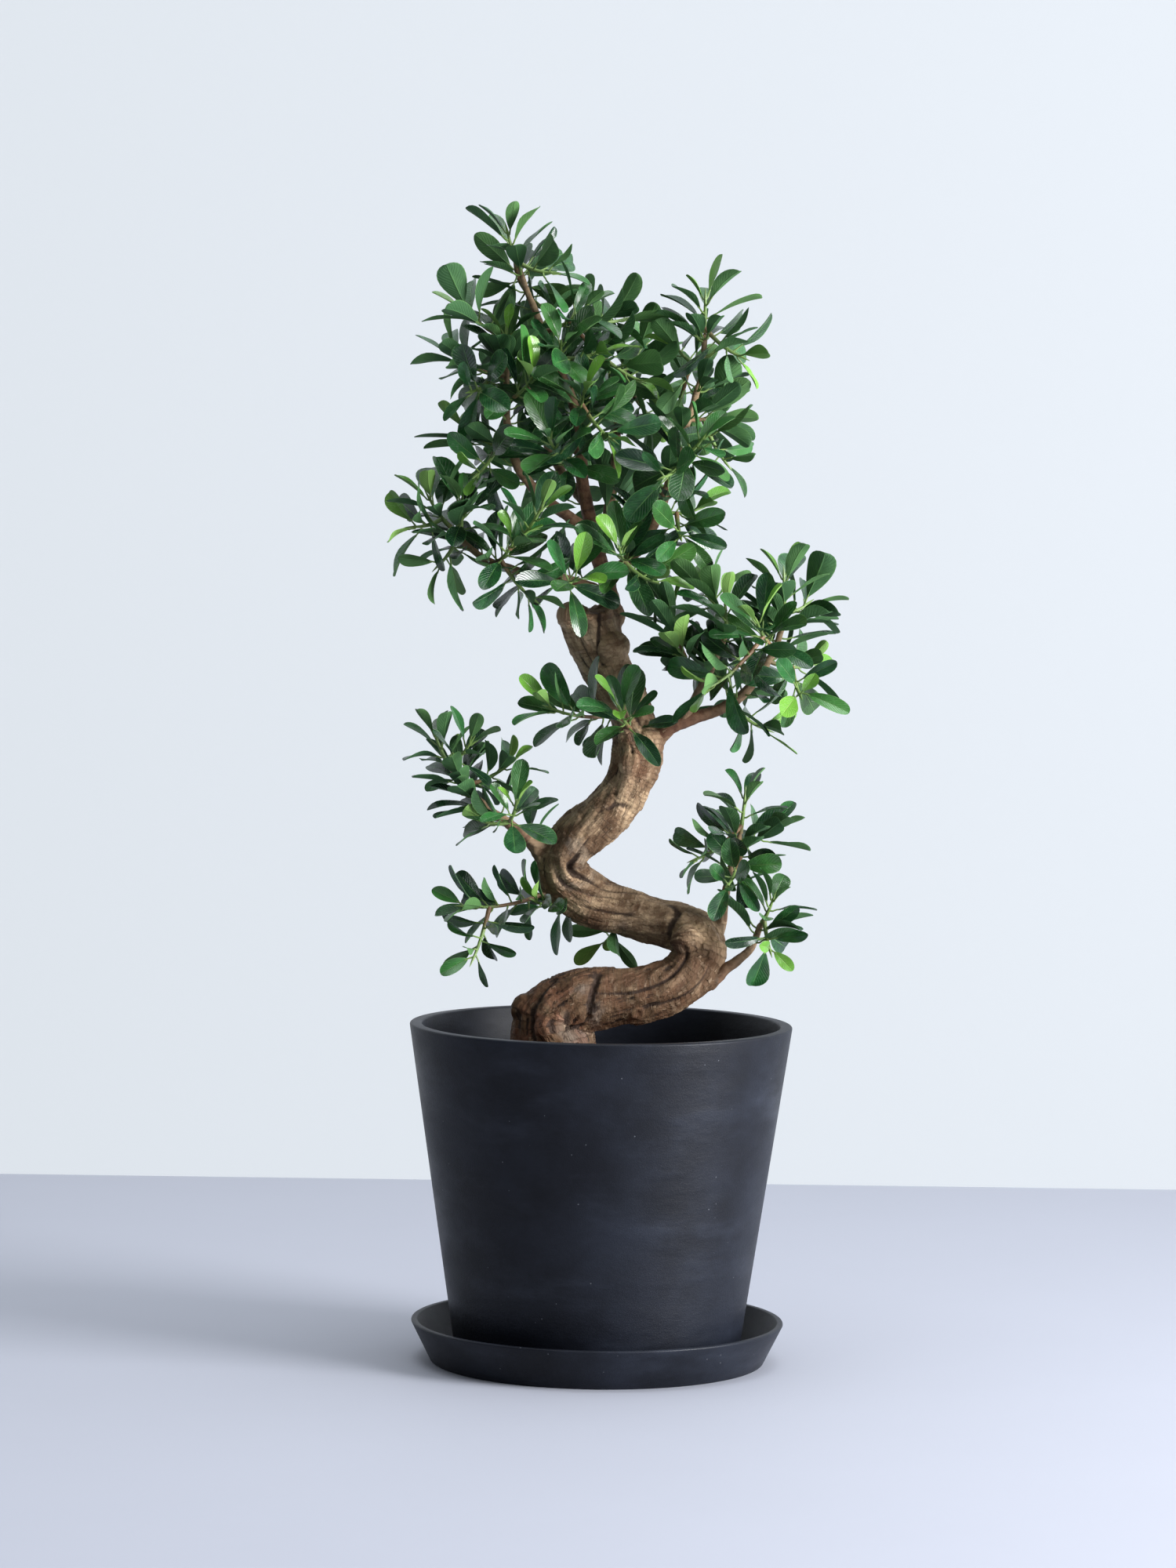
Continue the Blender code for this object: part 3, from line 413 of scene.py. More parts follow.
class Finish:
    """A material whose nodes are added and linked one by one."""

    def __init__(self, name):
        self.material = bpy.data.materials.new(name)
        self.material.use_nodes = True
        self.tree = self.material.node_tree
        self.shader = self.tree.nodes["Principled BSDF"]

    def feed(self, node, socket, value):
        if isinstance(value, bpy.types.NodeSocket):
            self.tree.links.new(value, node.inputs[socket])
        else:
            node.inputs[socket].default_value = value

    def node(self, kind, inputs=(), **settings):
        made = self.tree.nodes.new(f"ShaderNode{kind}")
        for setting, value in settings.items():
            setattr(made, setting, value)
        for socket, value in dict(inputs).items():
            self.feed(made, socket, value)
        return made

    def place(self, *stretch):
        """Where on the object a point is, in metres, stretched along each axis."""
        where = self.node("TexCoord").outputs["Object"]
        return self.stretched(where, *stretch)

    def stretched(self, vector, *stretch):
        if not stretch:
            return vector
        return self.node("VectorMath", {0: vector, 1: stretch}, operation="MULTIPLY").outputs[0]

    def value(self, name, output="Fac"):
        return self.node("Attribute", attribute_name=name).outputs[output]

    def noise(self, vector, scale, detail=3.0, roughness=0.5):
        inputs = {"Vector": vector, "Scale": scale, "Detail": detail, "Roughness": roughness}
        return self.node("TexNoise", inputs).outputs["Fac"]

    def cells(self, vector, scale):
        """How far each place is from the middle of its cell."""
        return self.node("TexVoronoi", {"Vector": vector, "Scale": scale}).outputs["Distance"]

    def chance(self, vector, scale):
        """A number from 0 to 1 for each of the same cells."""
        colour = self.node("TexVoronoi", {"Vector": vector, "Scale": scale}).outputs["Color"]
        return self.node("SeparateColor", {"Color": colour}).outputs[0]

    def math(self, operation, first, second=0.0):
        return self.node("Math", {0: first, 1: second}, operation=operation).outputs[0]

    def plus(self, first, second):
        return self.math("ADD", first, second)

    def times(self, first, second):
        return self.math("MULTIPLY", first, second)

    def ramp(self, value, low, high, first=0.0, last=1.0):
        inputs = {"Value": value, "From Min": low, "From Max": high, "To Min": first, "To Max": last}
        return self.node("MapRange", inputs, interpolation_type="SMOOTHSTEP").outputs["Result"]

    def mix(self, share, first, second):
        return self.node("Mix", {0: share, 6: first, 7: second}, data_type="RGBA").outputs[2]

    def bump(self, height, distance):
        return self.node("Bump", {"Height": height, "Distance": distance}).outputs["Normal"]

    def surface(self, shader):
        """Makes another shader node's output the material's surface."""
        self.feed(self.tree.nodes["Material Output"], "Surface", shader.outputs[0])
        return self.material

    def finish(self, colour, roughness, normal=None, **constants):
        self.feed(self.shader, "Base Color", colour)
        self.feed(self.shader, "Roughness", roughness)
        if normal is not None:
            self.feed(self.shader, "Normal", normal)
        for socket, value in constants.items():
            self.shader.inputs[socket.replace("_", " ")].default_value = value
        return self.material


def tint(red, green, blue):
    return (red, green, blue, 1.0)


def charcoal_resin(name, depth):
    """Matt stone-filled resin: cloudy, wiped a little sideways, with specks of pale grit."""
    look = Finish(name)
    where = look.place()
    cloud = look.noise(where, 14.0, 5.0, 0.6)
    smear = look.noise(look.place(1.0, 1.0, 3.0), 9.0, 5.0, 0.6)
    grain = look.noise(where, 900.0, 2.0)
    colour = look.mix(look.ramp(cloud, 0.3, 0.7), tint(0.0040, 0.0050, 0.0085), tint(0.0105, 0.0130, 0.0205))
    colour = look.mix(look.ramp(smear, 0.50, 0.80, 0.0, 0.5), colour, tint(0.030, 0.036, 0.052))
    rare = look.ramp(look.chance(where, 190.0), 0.93, 0.935)
    grit = look.times(look.ramp(look.cells(where, 190.0), 0.13, 0.07), rare)
    colour = look.mix(look.times(grit, 0.5), colour, tint(0.15, 0.16, 0.18))
    height = look.plus(look.times(smear, 0.7), look.times(grain, 0.08))
    normal = look.bump(height, depth)
    roughness = look.ramp(look.plus(smear, look.times(grain, 0.3)), 0.4, 0.95, 0.52, 0.40)
    return look.finish(colour, roughness, normal, Specular_IOR_Level=0.20)


def bark():
    """Tan bark, darker and redder at places along the trunk, with lines across the grain, pale dots and
    painted shade in its creases.
    """
    look = Finish("bark")
    grain = look.value("grain", "Vector")
    dark = look.value("dark")
    red = look.value("red")
    # painted shade: how deep in a crease, crack or fibre groove each point lies
    crease_shade = look.value("crease_shade")
    patches = look.noise(grain, 55.0, 5.0, 0.62)
    fibres = look.noise(look.stretched(grain, 0.22, 1.0, 1.0), 420.0, 4.0, 0.6)
    rings = look.noise(look.stretched(grain, 1.0, 0.12, 0.12), 760.0, 3.0, 0.6)
    shade = look.plus(dark, look.ramp(patches, 0.25, 0.75, -0.55, 0.55))
    colour = look.mix(look.ramp(shade, 0.0, 1.0), tint(0.50, 0.355, 0.210), tint(0.105, 0.058, 0.029))
    colour = look.mix(look.ramp(fibres, 0.42, 0.72, 0.0, 0.68), colour, tint(0.150, 0.088, 0.046))
    colour = look.mix(look.ramp(rings, 0.56, 0.74, 0.0, 0.42), colour, tint(0.52, 0.39, 0.26))
    rust = look.times(red, look.ramp(look.noise(grain, 95.0, 4.0), 0.38, 0.62))
    colour = look.mix(look.times(rust, 0.6), colour, tint(0.185, 0.062, 0.032))
    grey = look.ramp(look.noise(grain, 30.0, 4.0, 0.6), 0.56, 0.72, 0.0, 0.35)
    colour = look.mix(grey, colour, tint(0.26, 0.235, 0.20))
    dots = look.ramp(look.cells(look.stretched(grain, 1.0, 0.55, 0.55), 330.0), 0.20, 0.08)
    colour = look.mix(look.times(dots, 0.35), colour, tint(0.50, 0.36, 0.23))
    # painted shade: the bark is darkened in its creases, cracks and fibre grooves, where shade falls
    colour = look.mix(look.ramp(crease_shade, 0.2, 0.9, 0.0, 0.92), colour, tint(0.030, 0.016, 0.010))
    height = look.plus(look.times(rings, 0.55), look.times(fibres, 0.75))
    height = look.plus(height, look.times(dots, 0.35))
    normal = look.bump(height, 0.0032)
    return look.finish(colour, look.ramp(patches, 0.3, 0.7, 0.66, 0.85), normal, Specular_IOR_Level=0.3)


def branch_bark():
    """Thin smooth bark: red-brown on old wood, tan further out, with dark rings at the leaf scars."""
    look = Finish("branch_bark")
    where = look.place()
    age = look.value("age")
    scar = look.value("scar")
    patches = look.noise(where, 160.0, 4.0, 0.6)
    lines = look.noise(look.place(1.0, 1.0, 4.0), 700.0, 3.0, 0.6)
    young = look.mix(look.ramp(patches, 0.3, 0.7), tint(0.20, 0.135, 0.070), tint(0.31, 0.22, 0.125))
    old = look.mix(look.ramp(patches, 0.35, 0.65), tint(0.115, 0.042, 0.022), tint(0.23, 0.115, 0.062))
    colour = look.mix(age, young, old)
    colour = look.mix(look.ramp(lines, 0.5, 0.75, 0.0, 0.4), colour, tint(0.34, 0.25, 0.16))
    colour = look.mix(look.times(scar, 0.7), colour, tint(0.05, 0.026, 0.016))
    height = look.plus(lines, look.times(patches, 0.8))
    return look.finish(colour, 0.68, look.bump(height, 0.0007), Specular_IOR_Level=0.35)


def green_stem():
    """Stems and leaf stalks: pale green at the tips, turning to brown wood further down."""
    look = Finish("green_stem")
    woody = look.value("tone")
    patches = look.noise(look.place(), 240.0, 3.0)
    green = look.mix(patches, tint(0.115, 0.205, 0.045), tint(0.19, 0.29, 0.08))
    brown = look.mix(patches, tint(0.155, 0.082, 0.040), tint(0.27, 0.165, 0.085))
    colour = look.mix(look.ramp(woody, 0.25, 0.75), green, brown)
    return look.finish(colour, 0.5, look.bump(patches, 0.0004))


def leaf(name, underside):
    """A leathery leaf with a pale midrib and margin, brighter when it is young."""
    look = Finish(name)
    if underside:
        dark, middle, young = tint(0.045, 0.130, 0.045), tint(0.095, 0.230, 0.070), tint(0.25, 0.46, 0.10)
        smoothest, roughest, specular, rib_depth = 0.62, 0.72, 0.35, -1.0
    else:
        dark, middle, young = tint(0.0065, 0.040, 0.015), tint(0.030, 0.170, 0.038), tint(0.20, 0.48, 0.05)
        smoothest, roughest, specular, rib_depth = 0.17, 0.30, 0.8, 0.7
    parts = look.node("SeparateXYZ", {0: look.value("blade", "Vector")}).outputs
    across = look.math("ABSOLUTE", parts[0])
    along = parts[1]
    tone = look.value("tone")
    youth = look.value("youth")
    patches = look.noise(look.place(), 85.0, 4.0, 0.55)
    shade = look.plus(tone, look.ramp(patches, 0.3, 0.7, -0.22, 0.22))
    colour = look.mix(look.ramp(shade, 0.0, 1.0), dark, middle)
    colour = look.mix(youth, colour, young)
    slant = look.math("SUBTRACT", along, look.times(across, 0.30))
    waves = look.math("SINE", look.times(slant, 74.0))
    veins = look.times(look.ramp(waves, 0.55, 1.0), look.ramp(across, 0.02, 0.15))
    pale = look.mix(youth, tint(0.115, 0.270, 0.080), tint(0.36, 0.56, 0.14))
    colour = look.mix(look.times(veins, 0.16), colour, pale)
    fading = look.ramp(along, 0.35, 1.0, 1.0, 0.25)
    rib = look.times(look.ramp(across, 0.075, 0.028), fading)
    colour = look.mix(look.times(rib, 0.85), colour, pale)
    margin = look.ramp(across, 0.925, 0.975)
    colour = look.mix(look.times(margin, 0.8), colour, pale)
    base = look.ramp(along, 0.16, 0.02)
    colour = look.mix(look.times(base, 0.5), colour, pale)
    height = look.math("SUBTRACT", look.times(patches, 0.5), look.times(veins, 0.3))
    height = look.math("SUBTRACT", height, look.times(rib, rib_depth))
    normal = look.bump(height, 0.0009)
    roughness = look.ramp(patches, 0.3, 0.7, smoothest, roughest)
    look.finish(colour, roughness, normal, Specular_IOR_Level=specular)
    glow = look.node("BsdfTranslucent", {"Color": colour, "Normal": normal})
    through = look.node("MixShader", {0: 0.16, 1: look.shader.outputs[0], 2: glow.outputs[0]})
    return look.surface(through)


def loose_soil():
    """Dark earth with paler crumbs, redder round the trunk."""
    look = Finish("loose_soil")
    where = look.place()
    clods = look.noise(where, 150.0, 5.0, 0.65)
    grit = look.cells(where, 420.0)
    crumb = look.value("crumb")
    red = look.value("red")
    colour = look.mix(look.ramp(clods, 0.3, 0.7), tint(0.022, 0.012, 0.008), tint(0.075, 0.042, 0.025))
    colour = look.mix(look.ramp(crumb, 0.35, 1.0, 0.0, 0.7), colour, tint(0.17, 0.10, 0.058))
    colour = look.mix(look.times(red, 0.75), colour, tint(0.185, 0.070, 0.036))
    height = look.math("SUBTRACT", clods, look.times(grit, 0.5))
    return look.finish(colour, 0.92, look.bump(height, 0.002), Specular_IOR_Level=0.2)


def gravel():
    """Washed stones with painted shade in the gaps between them."""
    look = Finish("gravel")
    where = look.place()
    stones = look.cells(where, 110.0)
    colour = look.mix(look.chance(where, 110.0), tint(0.085, 0.070, 0.060), tint(0.30, 0.25, 0.21))
    # painted shade: dark colour at the edges of the cells, in the gaps between the stones
    colour = look.mix(look.ramp(stones, 0.45, 0.75), colour, tint(0.02, 0.015, 0.012))
    return look.finish(colour, 0.85, look.bump(look.ramp(stones, 0.75, 0.1), 0.004))


def net_plastic():
    """Black moulded plastic with a dusty film."""
    look = Finish("net_plastic")
    film = look.noise(look.place(), 320.0, 3.0)
    colour = look.mix(film, tint(0.008, 0.010, 0.010), tint(0.020, 0.024, 0.023))
    return look.finish(colour, look.ramp(film, 0.3, 0.7, 0.40, 0.58), look.bump(film, 0.0003))


# ---- The planter, its saucer and the soil ----

def arc(centre, radius, start, end, steps=6):
    """Points on a round corner of an outline, from one angle to another in degrees."""
    angles = [math.radians(start + (end - start) * step / steps) for step in range(steps + 1)]
    return [(centre[0] + radius * math.cos(a), centre[1] + radius * math.sin(a)) for a in angles]


def divided(outline, longest):
    """The outline with points added, so that none are further apart than `longest`."""
    points = [outline[0]]
    for start, end in zip(outline, outline[1:]):
        pieces = max(1, math.ceil(math.dist(start, end) / longest))
        for piece in range(1, pieces + 1):
            t = piece / pieces
            points.append((start[0] + (end[0] - start[0]) * t, start[1] + (end[1] - start[1]) * t))
    return points


def turned_mesh(name, outline, closed_loop, cutters=()):
    """The (radius, height) outline turned round the Z axis, with the cutters taken away from it."""
    mesh = bpy.data.meshes.new(name)
    count = len(outline)
    edges = [(i, i + 1) for i in range(count - 1)]
    if closed_loop:
        edges.append((count - 1, 0))
    mesh.from_pydata([(r * MM, 0, z * MM) for r, z in outline], edges, [])
    turning = placed(name, mesh)
    screw = turning.modifiers.new("turn", "SCREW")
    screw.steps = screw.render_steps = TURNED_STEPS
    screw.use_merge_vertices = True
    screw.merge_threshold = 0.01 * MM
    for cutter in cutters:
        turning.modifiers.new("cut", "BOOLEAN").object = cutter
    finished = evaluated_mesh(turning)
    for helper in (turning, *cutters):
        bpy.data.objects.remove(helper, do_unlink=True)
    return finished


def foot_notch(degrees):
    """A block that cuts a way for water through the foot ring."""
    block = bmesh.new()
    place = Matrix.Rotation(math.radians(degrees), 4, "Z") @ Matrix.Translation(
        Vector((POT_BASE_RADIUS - FOOT_WIDTH / 2, 0, POT_BOTTOM)) * MM)
    size = Matrix.Diagonal(Vector(FOOT_NOTCH_SIZE) * MM).to_4x4()
    bmesh.ops.create_cube(block, size=1.0, matrix=place @ size)
    mesh = bpy.data.meshes.new("foot_notch")
    block.to_mesh(mesh)
    block.free()
    return placed("foot_notch", mesh)


def pot_outer_radius(z):
    share = (z - POT_BOTTOM) / POT_HEIGHT
    return POT_BASE_RADIUS + (POT_RIM_RADIUS - POT_BASE_RADIUS) * share


def pot_inner_radius(z):
    return pot_outer_radius(z) - POT_WALL


def make_saucer(material):
    """The tray: from the middle of its floor, over the rim and back to the middle of its underside."""
    floor_edge = SAUCER_BASE_RADIUS - SAUCER_WALL
    outline = [(0, SAUCER_WALL), (floor_edge - 4, SAUCER_WALL)]
    outline += arc((floor_edge - 4, SAUCER_WALL + 4), 4, -90, -25, 4)
    outline += arc((SAUCER_RIM_RADIUS - SAUCER_WALL + 1.2, SAUCER_HEIGHT - 1.2), 1.2, 155, 90, 4)
    outline += arc((SAUCER_RIM_RADIUS - 1.2, SAUCER_HEIGHT - 1.2), 1.2, 90, -20, 5)
    outline += arc((SAUCER_BASE_RADIUS - 1.5, 2.0), 2.0, -30, -90, 5)
    outline += [(SAUCER_WALL / 2, 0), (0, 0)]
    mesh = turned_mesh("saucer", divided(outline, 8.0), closed_loop=False)
    show("saucer", mesh, "saucer", material, sharp=50)


def make_pot(material):
    """The planter: over the rim, down its outer side, and up inside from the drain hole."""
    recess_radius = POT_BASE_RADIUS - FOOT_WIDTH
    corner = POT_INSIDE_BOTTOM + 6
    rim = POT_TOP - RIM_ROUNDING
    outline = arc((pot_inner_radius(rim) + RIM_ROUNDING, rim), RIM_ROUNDING, 170, 90, 5)
    outline += arc((pot_outer_radius(rim) - RIM_ROUNDING, rim), RIM_ROUNDING, 90, -8, 6)
    outline += arc((POT_BASE_RADIUS - 2, POT_BOTTOM + 2), 2, -8, -90, 4)
    outline += [
        (recess_radius + 2, POT_BOTTOM),
        (recess_radius, POT_BOTTOM + FOOT_RECESS),
        (DRAIN_HOLE_RADIUS + 1, POT_BOTTOM + FOOT_RECESS),
        (DRAIN_HOLE_RADIUS, POT_BOTTOM + FOOT_RECESS + 1),
        (DRAIN_HOLE_RADIUS, POT_INSIDE_BOTTOM),
        (pot_inner_radius(corner) - 6, POT_INSIDE_BOTTOM),
        (pot_inner_radius(corner) - 2, POT_INSIDE_BOTTOM + 2),
        (pot_inner_radius(corner), corner),
    ]
    outline = divided(outline + outline[:1], 12.0)[:-1]
    notches = [foot_notch(degrees) for degrees in FOOT_NOTCH_TURNS]
    mesh = turned_mesh("pot", outline, closed_loop=True, cutters=notches)
    show("pot", mesh, "pot", material, sharp=50)


def soil_height(x, y):
    """The top of the soil: crowned, rough, and heaped round the foot of the trunk."""
    radius = np.hypot(x, y)
    edge = pot_inner_radius(SOIL_EDGE)
    height = SOIL_CROWN - (SOIL_CROWN - SOIL_EDGE) * (radius / edge) ** 2
    away = np.hypot(x - MOUND_CENTRE[0], y - MOUND_CENTRE[1])
    height += MOUND_HEIGHT * np.exp(-(away / MOUND_REACH) ** 4)
    flat = np.column_stack([x, y, np.zeros_like(x)])
    rough = 1.9 * fractal(flat, (16, 16, 16), 31) + 0.9 * fractal(flat, (4, 4, 4), 37)
    return height + rough * soft_step(edge - radius, 0, 6)


def crumb_shape(dice):
    """A broken lump of soil or bark, about one unit across."""
    lump = bmesh.new()
    bmesh.ops.create_icosphere(lump, subdivisions=1, radius=0.5)
    points = np.array([vertex.co for vertex in lump.verts])
    faces = [tuple(vertex.index for vertex in face.verts) for face in lump.faces]
    lump.free()
    return points * dice.uniform(0.7, 1.2, (len(points), 1)) * dice.uniform(0.55, 1.25, 3), faces


def make_soil(material):
    """Closed ground with loose crumbs on it, more and redder ones round the trunk."""
    dice = np.random.default_rng(SEED)
    soil = Parts()
    edge = pot_inner_radius(SOIL_EDGE) - GAP
    rings, spokes = 64, 160
    angles = np.arange(spokes) * math.tau / spokes
    radii = np.concatenate([np.linspace(2, edge, rings), [pot_inner_radius(GRAVEL_TOP + GAP) - GAP, 30.0]])
    x = (radii[:, None] * np.cos(angles)).ravel()
    y = (radii[:, None] * np.sin(angles)).ravel()
    z = soil_height(x, y)
    z[-2 * spokes:] = GRAVEL_TOP + GAP
    faces = [(a, d, c, b) for a, b, c, d in ring_faces(len(radii), spokes)]
    faces.append(tuple(range(spokes)))
    faces.append(tuple(range(len(x) - 1, len(x) - spokes - 1, -1)))
    near = np.hypot(x - MOUND_CENTRE[0], y - MOUND_CENTRE[1])
    soil.add(np.column_stack([x, y, z]), faces, crumb=0.1, red=0.8 * soft_step(near, HEAP_REACH, 34))
    shapes = [crumb_shape(dice) for _ in range(CRUMB_SHAPES)]
    for number in range(SOIL_CRUMBS):
        heaped = number % 3 == 0
        middle = MOUND_CENTRE if heaped else (0.0, 0.0)
        reach = HEAP_REACH if heaped else edge - 4
        away, angle = reach * math.sqrt(dice.uniform()), dice.uniform(0, math.tau)
        centre = np.array((middle[0] + away * math.cos(angle), middle[1] + away * math.sin(angle)))
        if np.hypot(*centre) > edge - 4:
            continue
        size = dice.uniform(1.6, 3.6) if heaped else dice.uniform(1.5, 5.0)
        points, lump = shapes[number % len(shapes)]
        spin = np.array(Matrix.Rotation(dice.uniform(0, math.tau), 3, Vector(dice.normal(size=3))))
        height = soil_height(centre[:1], centre[1:])[0]
        place = np.array((*centre, height + 0.15 * size))
        red = dice.uniform(0.3, 1.0) if heaped else dice.uniform(0, 0.35)
        soil.add(points @ spin.T * size + place, lump, crumb=dice.uniform(), red=red)
    show("potting_soil", soil.mesh("soil"), "soil", material, sharp=30)


# ---- The trunk ----

def joined_remesh(parts, voxel):
    """One skin over overlapping closed shapes."""
    solid = placed("solid", parts.mesh("solid"))
    remesh = solid.modifiers.new("skin", "REMESH")
    remesh.mode = "VOXEL"
    remesh.voxel_size = voxel * MM
    skin = evaluated_mesh(solid)
    bpy.data.objects.remove(solid, do_unlink=True)
    return skin


def collar(points, first_radius, last_radius):
    """The swollen foot of a branch, which belongs to the trunk's own skin."""
    line = smooth_line(tapered(points, first_radius, last_radius), 3)
    away = distances_along(line)
    line = line[away < COLLAR_LENGTH]
    away = away[away < COLLAR_LENGTH]
    line[:, 3] = line[:, 3] - 0.9 + first_radius * 1.15 * np.exp(-(away / 17) ** 2)
    return line


def trunk_shapes():
    """The overlapping tubes and balls of the trunk, its knots, its roots and the feet of its branches."""
    parts = Parts()
    parts.add(*tube_parts(smooth_line(TRUNK, 3), 40))
    for x, y, z, radius in KNOTS:
        ball = bmesh.new()
        bmesh.ops.create_icosphere(ball, subdivisions=4, radius=radius)
        points = np.array([vertex.co for vertex in ball.verts]) + (x, y, z)
        parts.add(points, [tuple(vertex.index for vertex in face.verts) for face in ball.faces])
        ball.free()
    crown = np.array(TRUNK[1][:3])
    for degrees, reach in ROOTS:
        out = np.array((math.cos(math.radians(degrees)), math.sin(math.radians(degrees)), 0))
        shares = np.array((0.0, 0.35, 0.7, 1.0))
        points = crown + out * (TRUNK[1][3] / 2 + shares[:, None] * reach)
        points[:, 2] -= 8 + ROOT_DROP * shares ** 1.5
        parts.add(*tube_parts(smooth_line(tapered(points, *ROOT_RADII), 6), 14))
    for parent, first_radius, last_radius, points in BRANCHES.values():
        if parent == "trunk":
            parts.add(*tube_parts(collar(points, first_radius, last_radius), 20))
    return parts


def place_on_trunk(points, line):
    """For each point: the nearest place on the trunk's line, and the angle round it from the front."""
    front, side = fixed_frames_along(line)
    nearest = np.empty(len(points), int)
    for start in range(0, len(points), 4000):
        rows = slice(start, start + 4000)
        away = np.linalg.norm(points[rows, None] - line[None, :, :3], axis=2) - line[:, 3]
        nearest[rows] = away.argmin(axis=1)
    out = points - line[nearest, :3]
    angle = np.arctan2((out * side[nearest]).sum(axis=1), (out * front[nearest]).sum(axis=1))
    return nearest, angle


def fold_depth(points, line, places, height, width, way):
    """How far one crease or ridge moves each point."""
    scale = np.array((TRUNK_SPACING, DEGREE_ARC, 1.0))
    way = smooth_line([(*turn, 0) for turn in way] * scale, 0.7) / scale
    front, side = fixed_frames_along(line)
    table = np.column_stack([line, front, side])
    table = np.column_stack([np.interp(way[:, 0], places, column) for column in table.T])
    centre, radius, front, side = np.split(table, (3, 4, 7), axis=1)
    angles = np.radians(way[:, 1])[:, None]
    track = centre + radius * (unit(front) * np.cos(angles) + unit(side) * np.sin(angles))
    low, high = track.min(axis=0) - 3 * width, track.max(axis=0) + 3 * width
    moved = np.zeros(len(points))
    close = np.flatnonzero(((points > low) & (points < high)).all(axis=1))
    if len(close) == 0:
        return moved
    away = np.linalg.norm(points[close, None] - track[None], axis=2)
    nearest = away.argmin(axis=1)
    ends = np.sin(np.pi * np.clip(nearest / (len(track) - 1), 0.03, 0.97)) ** 0.5
    moved[close] = height * ends * np.exp(-(away.min(axis=1) / width) ** 2)
    return moved


def all_folds():
    """The creases and ridges in FOLDS and many small cracks that follow the twist of the wood."""
    dice = random.Random(SEED)
    folds = list(FOLDS)
    for _ in range(RANDOM_CREASES):
        start = dice.uniform(1.5, 23.5)
        length = dice.uniform(0.8, 2.6)
        angle = dice.uniform(-180, 180)
        turn = dice.uniform(8, 34)
        way = [(start + length * t, angle - turn * t + dice.uniform(-5, 5)) for t in (0, 0.35, 0.7, 1)]
        folds.append((-dice.uniform(0.5, 1.3), dice.uniform(0.9, 1.5), way))
    return folds


def scar_height(points, line, places):
    """How far the ring scars in SCARS move each point: a raised ring round a hollow."""
    front, side = fixed_frames_along(line)
    moved = np.zeros(len(points))
    for at, degrees, radius, height in SCARS:
        row = int(round(np.interp(at, places, np.arange(len(line)))))
        turn = math.radians(degrees)
        centre = line[row, :3] + line[row, 3] * (front[row] * math.cos(turn) + side[row] * math.sin(turn))
        away = np.linalg.norm(points - centre, axis=1)
        moved += height * np.exp(-((away - radius) / 1.3) ** 2) - 0.7 * height * np.exp(-(away / 2.2) ** 2)
    return moved


def vectors_of(items, title):
    """One vector for each vertex, as rows."""
    rows = np.empty(len(items) * 3)
    items.foreach_get(title, rows)
    return rows.reshape(-1, 3)


def make_trunk(material):
    """Old twisted wood: a skin over the swellings, then lumps, folds, fibres, cracks and scars."""
    mesh = joined_remesh(trunk_shapes(), TRUNK_VOXEL)
    points = vectors_of(mesh.vertices, "co") / MM
    normals = vectors_of(mesh.vertex_normals, "vector")
    line = smooth_line(TRUNK, 3)
    distances = distances_along(line)
    rows = [np.linalg.norm(line[:, :3] - row[:3], axis=1).argmin() for row in np.array(TRUNK, float)]
    places = np.interp(distances, distances[rows], np.arange(len(TRUNK)))
    nearest, angle = place_on_trunk(points, line)
    place = places[nearest]
    along = distances[nearest]
    twisted = angle + 0.011 * along
    grain = np.column_stack([along, 20 * np.cos(twisted), 20 * np.sin(twisted)])
    grain += 2.5 * np.column_stack([value_noise(points / 14, seed) for seed in (3, 4, 5)])
    rough = np.interp(place, *zip(*BARK_ROUGHNESS))
    lumps = 1.8 * fractal(grain, (30, 15, 15), 41)
    strands = (0.5 - np.abs(fractal(grain, (44, 8, 8), 47, 2))) * 2.5
    fibres = (0.5 - np.abs(fractal(grain, (22, 3.2, 3.2), 53, 2))) * 1.05 * rough
    warts = 1.5 * np.maximum(0, value_noise(grain / (5.0, 4.0, 4.0), 59) - 0.42) * rough
    crumbling = 0.55 * fractal(points, (3.0, 3.0, 3.0), 61, 2) * np.maximum(0, rough - 0.7)
    folds = scar_height(points, line, places)
    for fold in all_folds():
        folds += fold_depth(points, line, places, *fold)
    moved = lumps + strands + fibres + warts + crumbling + folds
    points += normals * moved[:, None]
    mesh.vertices.foreach_set("co", (points * MM).ravel())
    # painted shade: how deep each point lies in a fold, crack or fibre groove, which darkens the bark there
    crease_shade_depth = np.maximum(0, -folds) / 1.6 + np.maximum(0, -(fibres + crumbling)) / 0.7
    crease_shade_depth += np.maximum(0, -strands - 0.35) / 1.4
    add_values(mesh, "grain", grain * MM)
    # painted shade in the creases, read by the bark shader
    add_values(mesh, "crease_shade", np.clip(crease_shade_depth, 0, 1))
    add_values(mesh, "dark", np.interp(place, *zip(*BARK_DARKNESS)))
    add_values(mesh, "red", np.interp(place, *zip(*BARK_REDNESS)))
    show("trunk", mesh, "bark", material, sharp=180)


# ---- Branches ----

def scar_places(length, dice):
    """Where the leaf scars of a branch are, as (how far along, the angle it faces)."""
    steps = np.arange(dice.uniform(6, 10), length, 1.0)
    due = dice.uniform(5, 9)
    chosen = []
    for step in steps:
        if step >= due:
            chosen.append((step, dice.uniform(0, math.tau)))
            due = step + dice.uniform(5, 10)
    return chosen


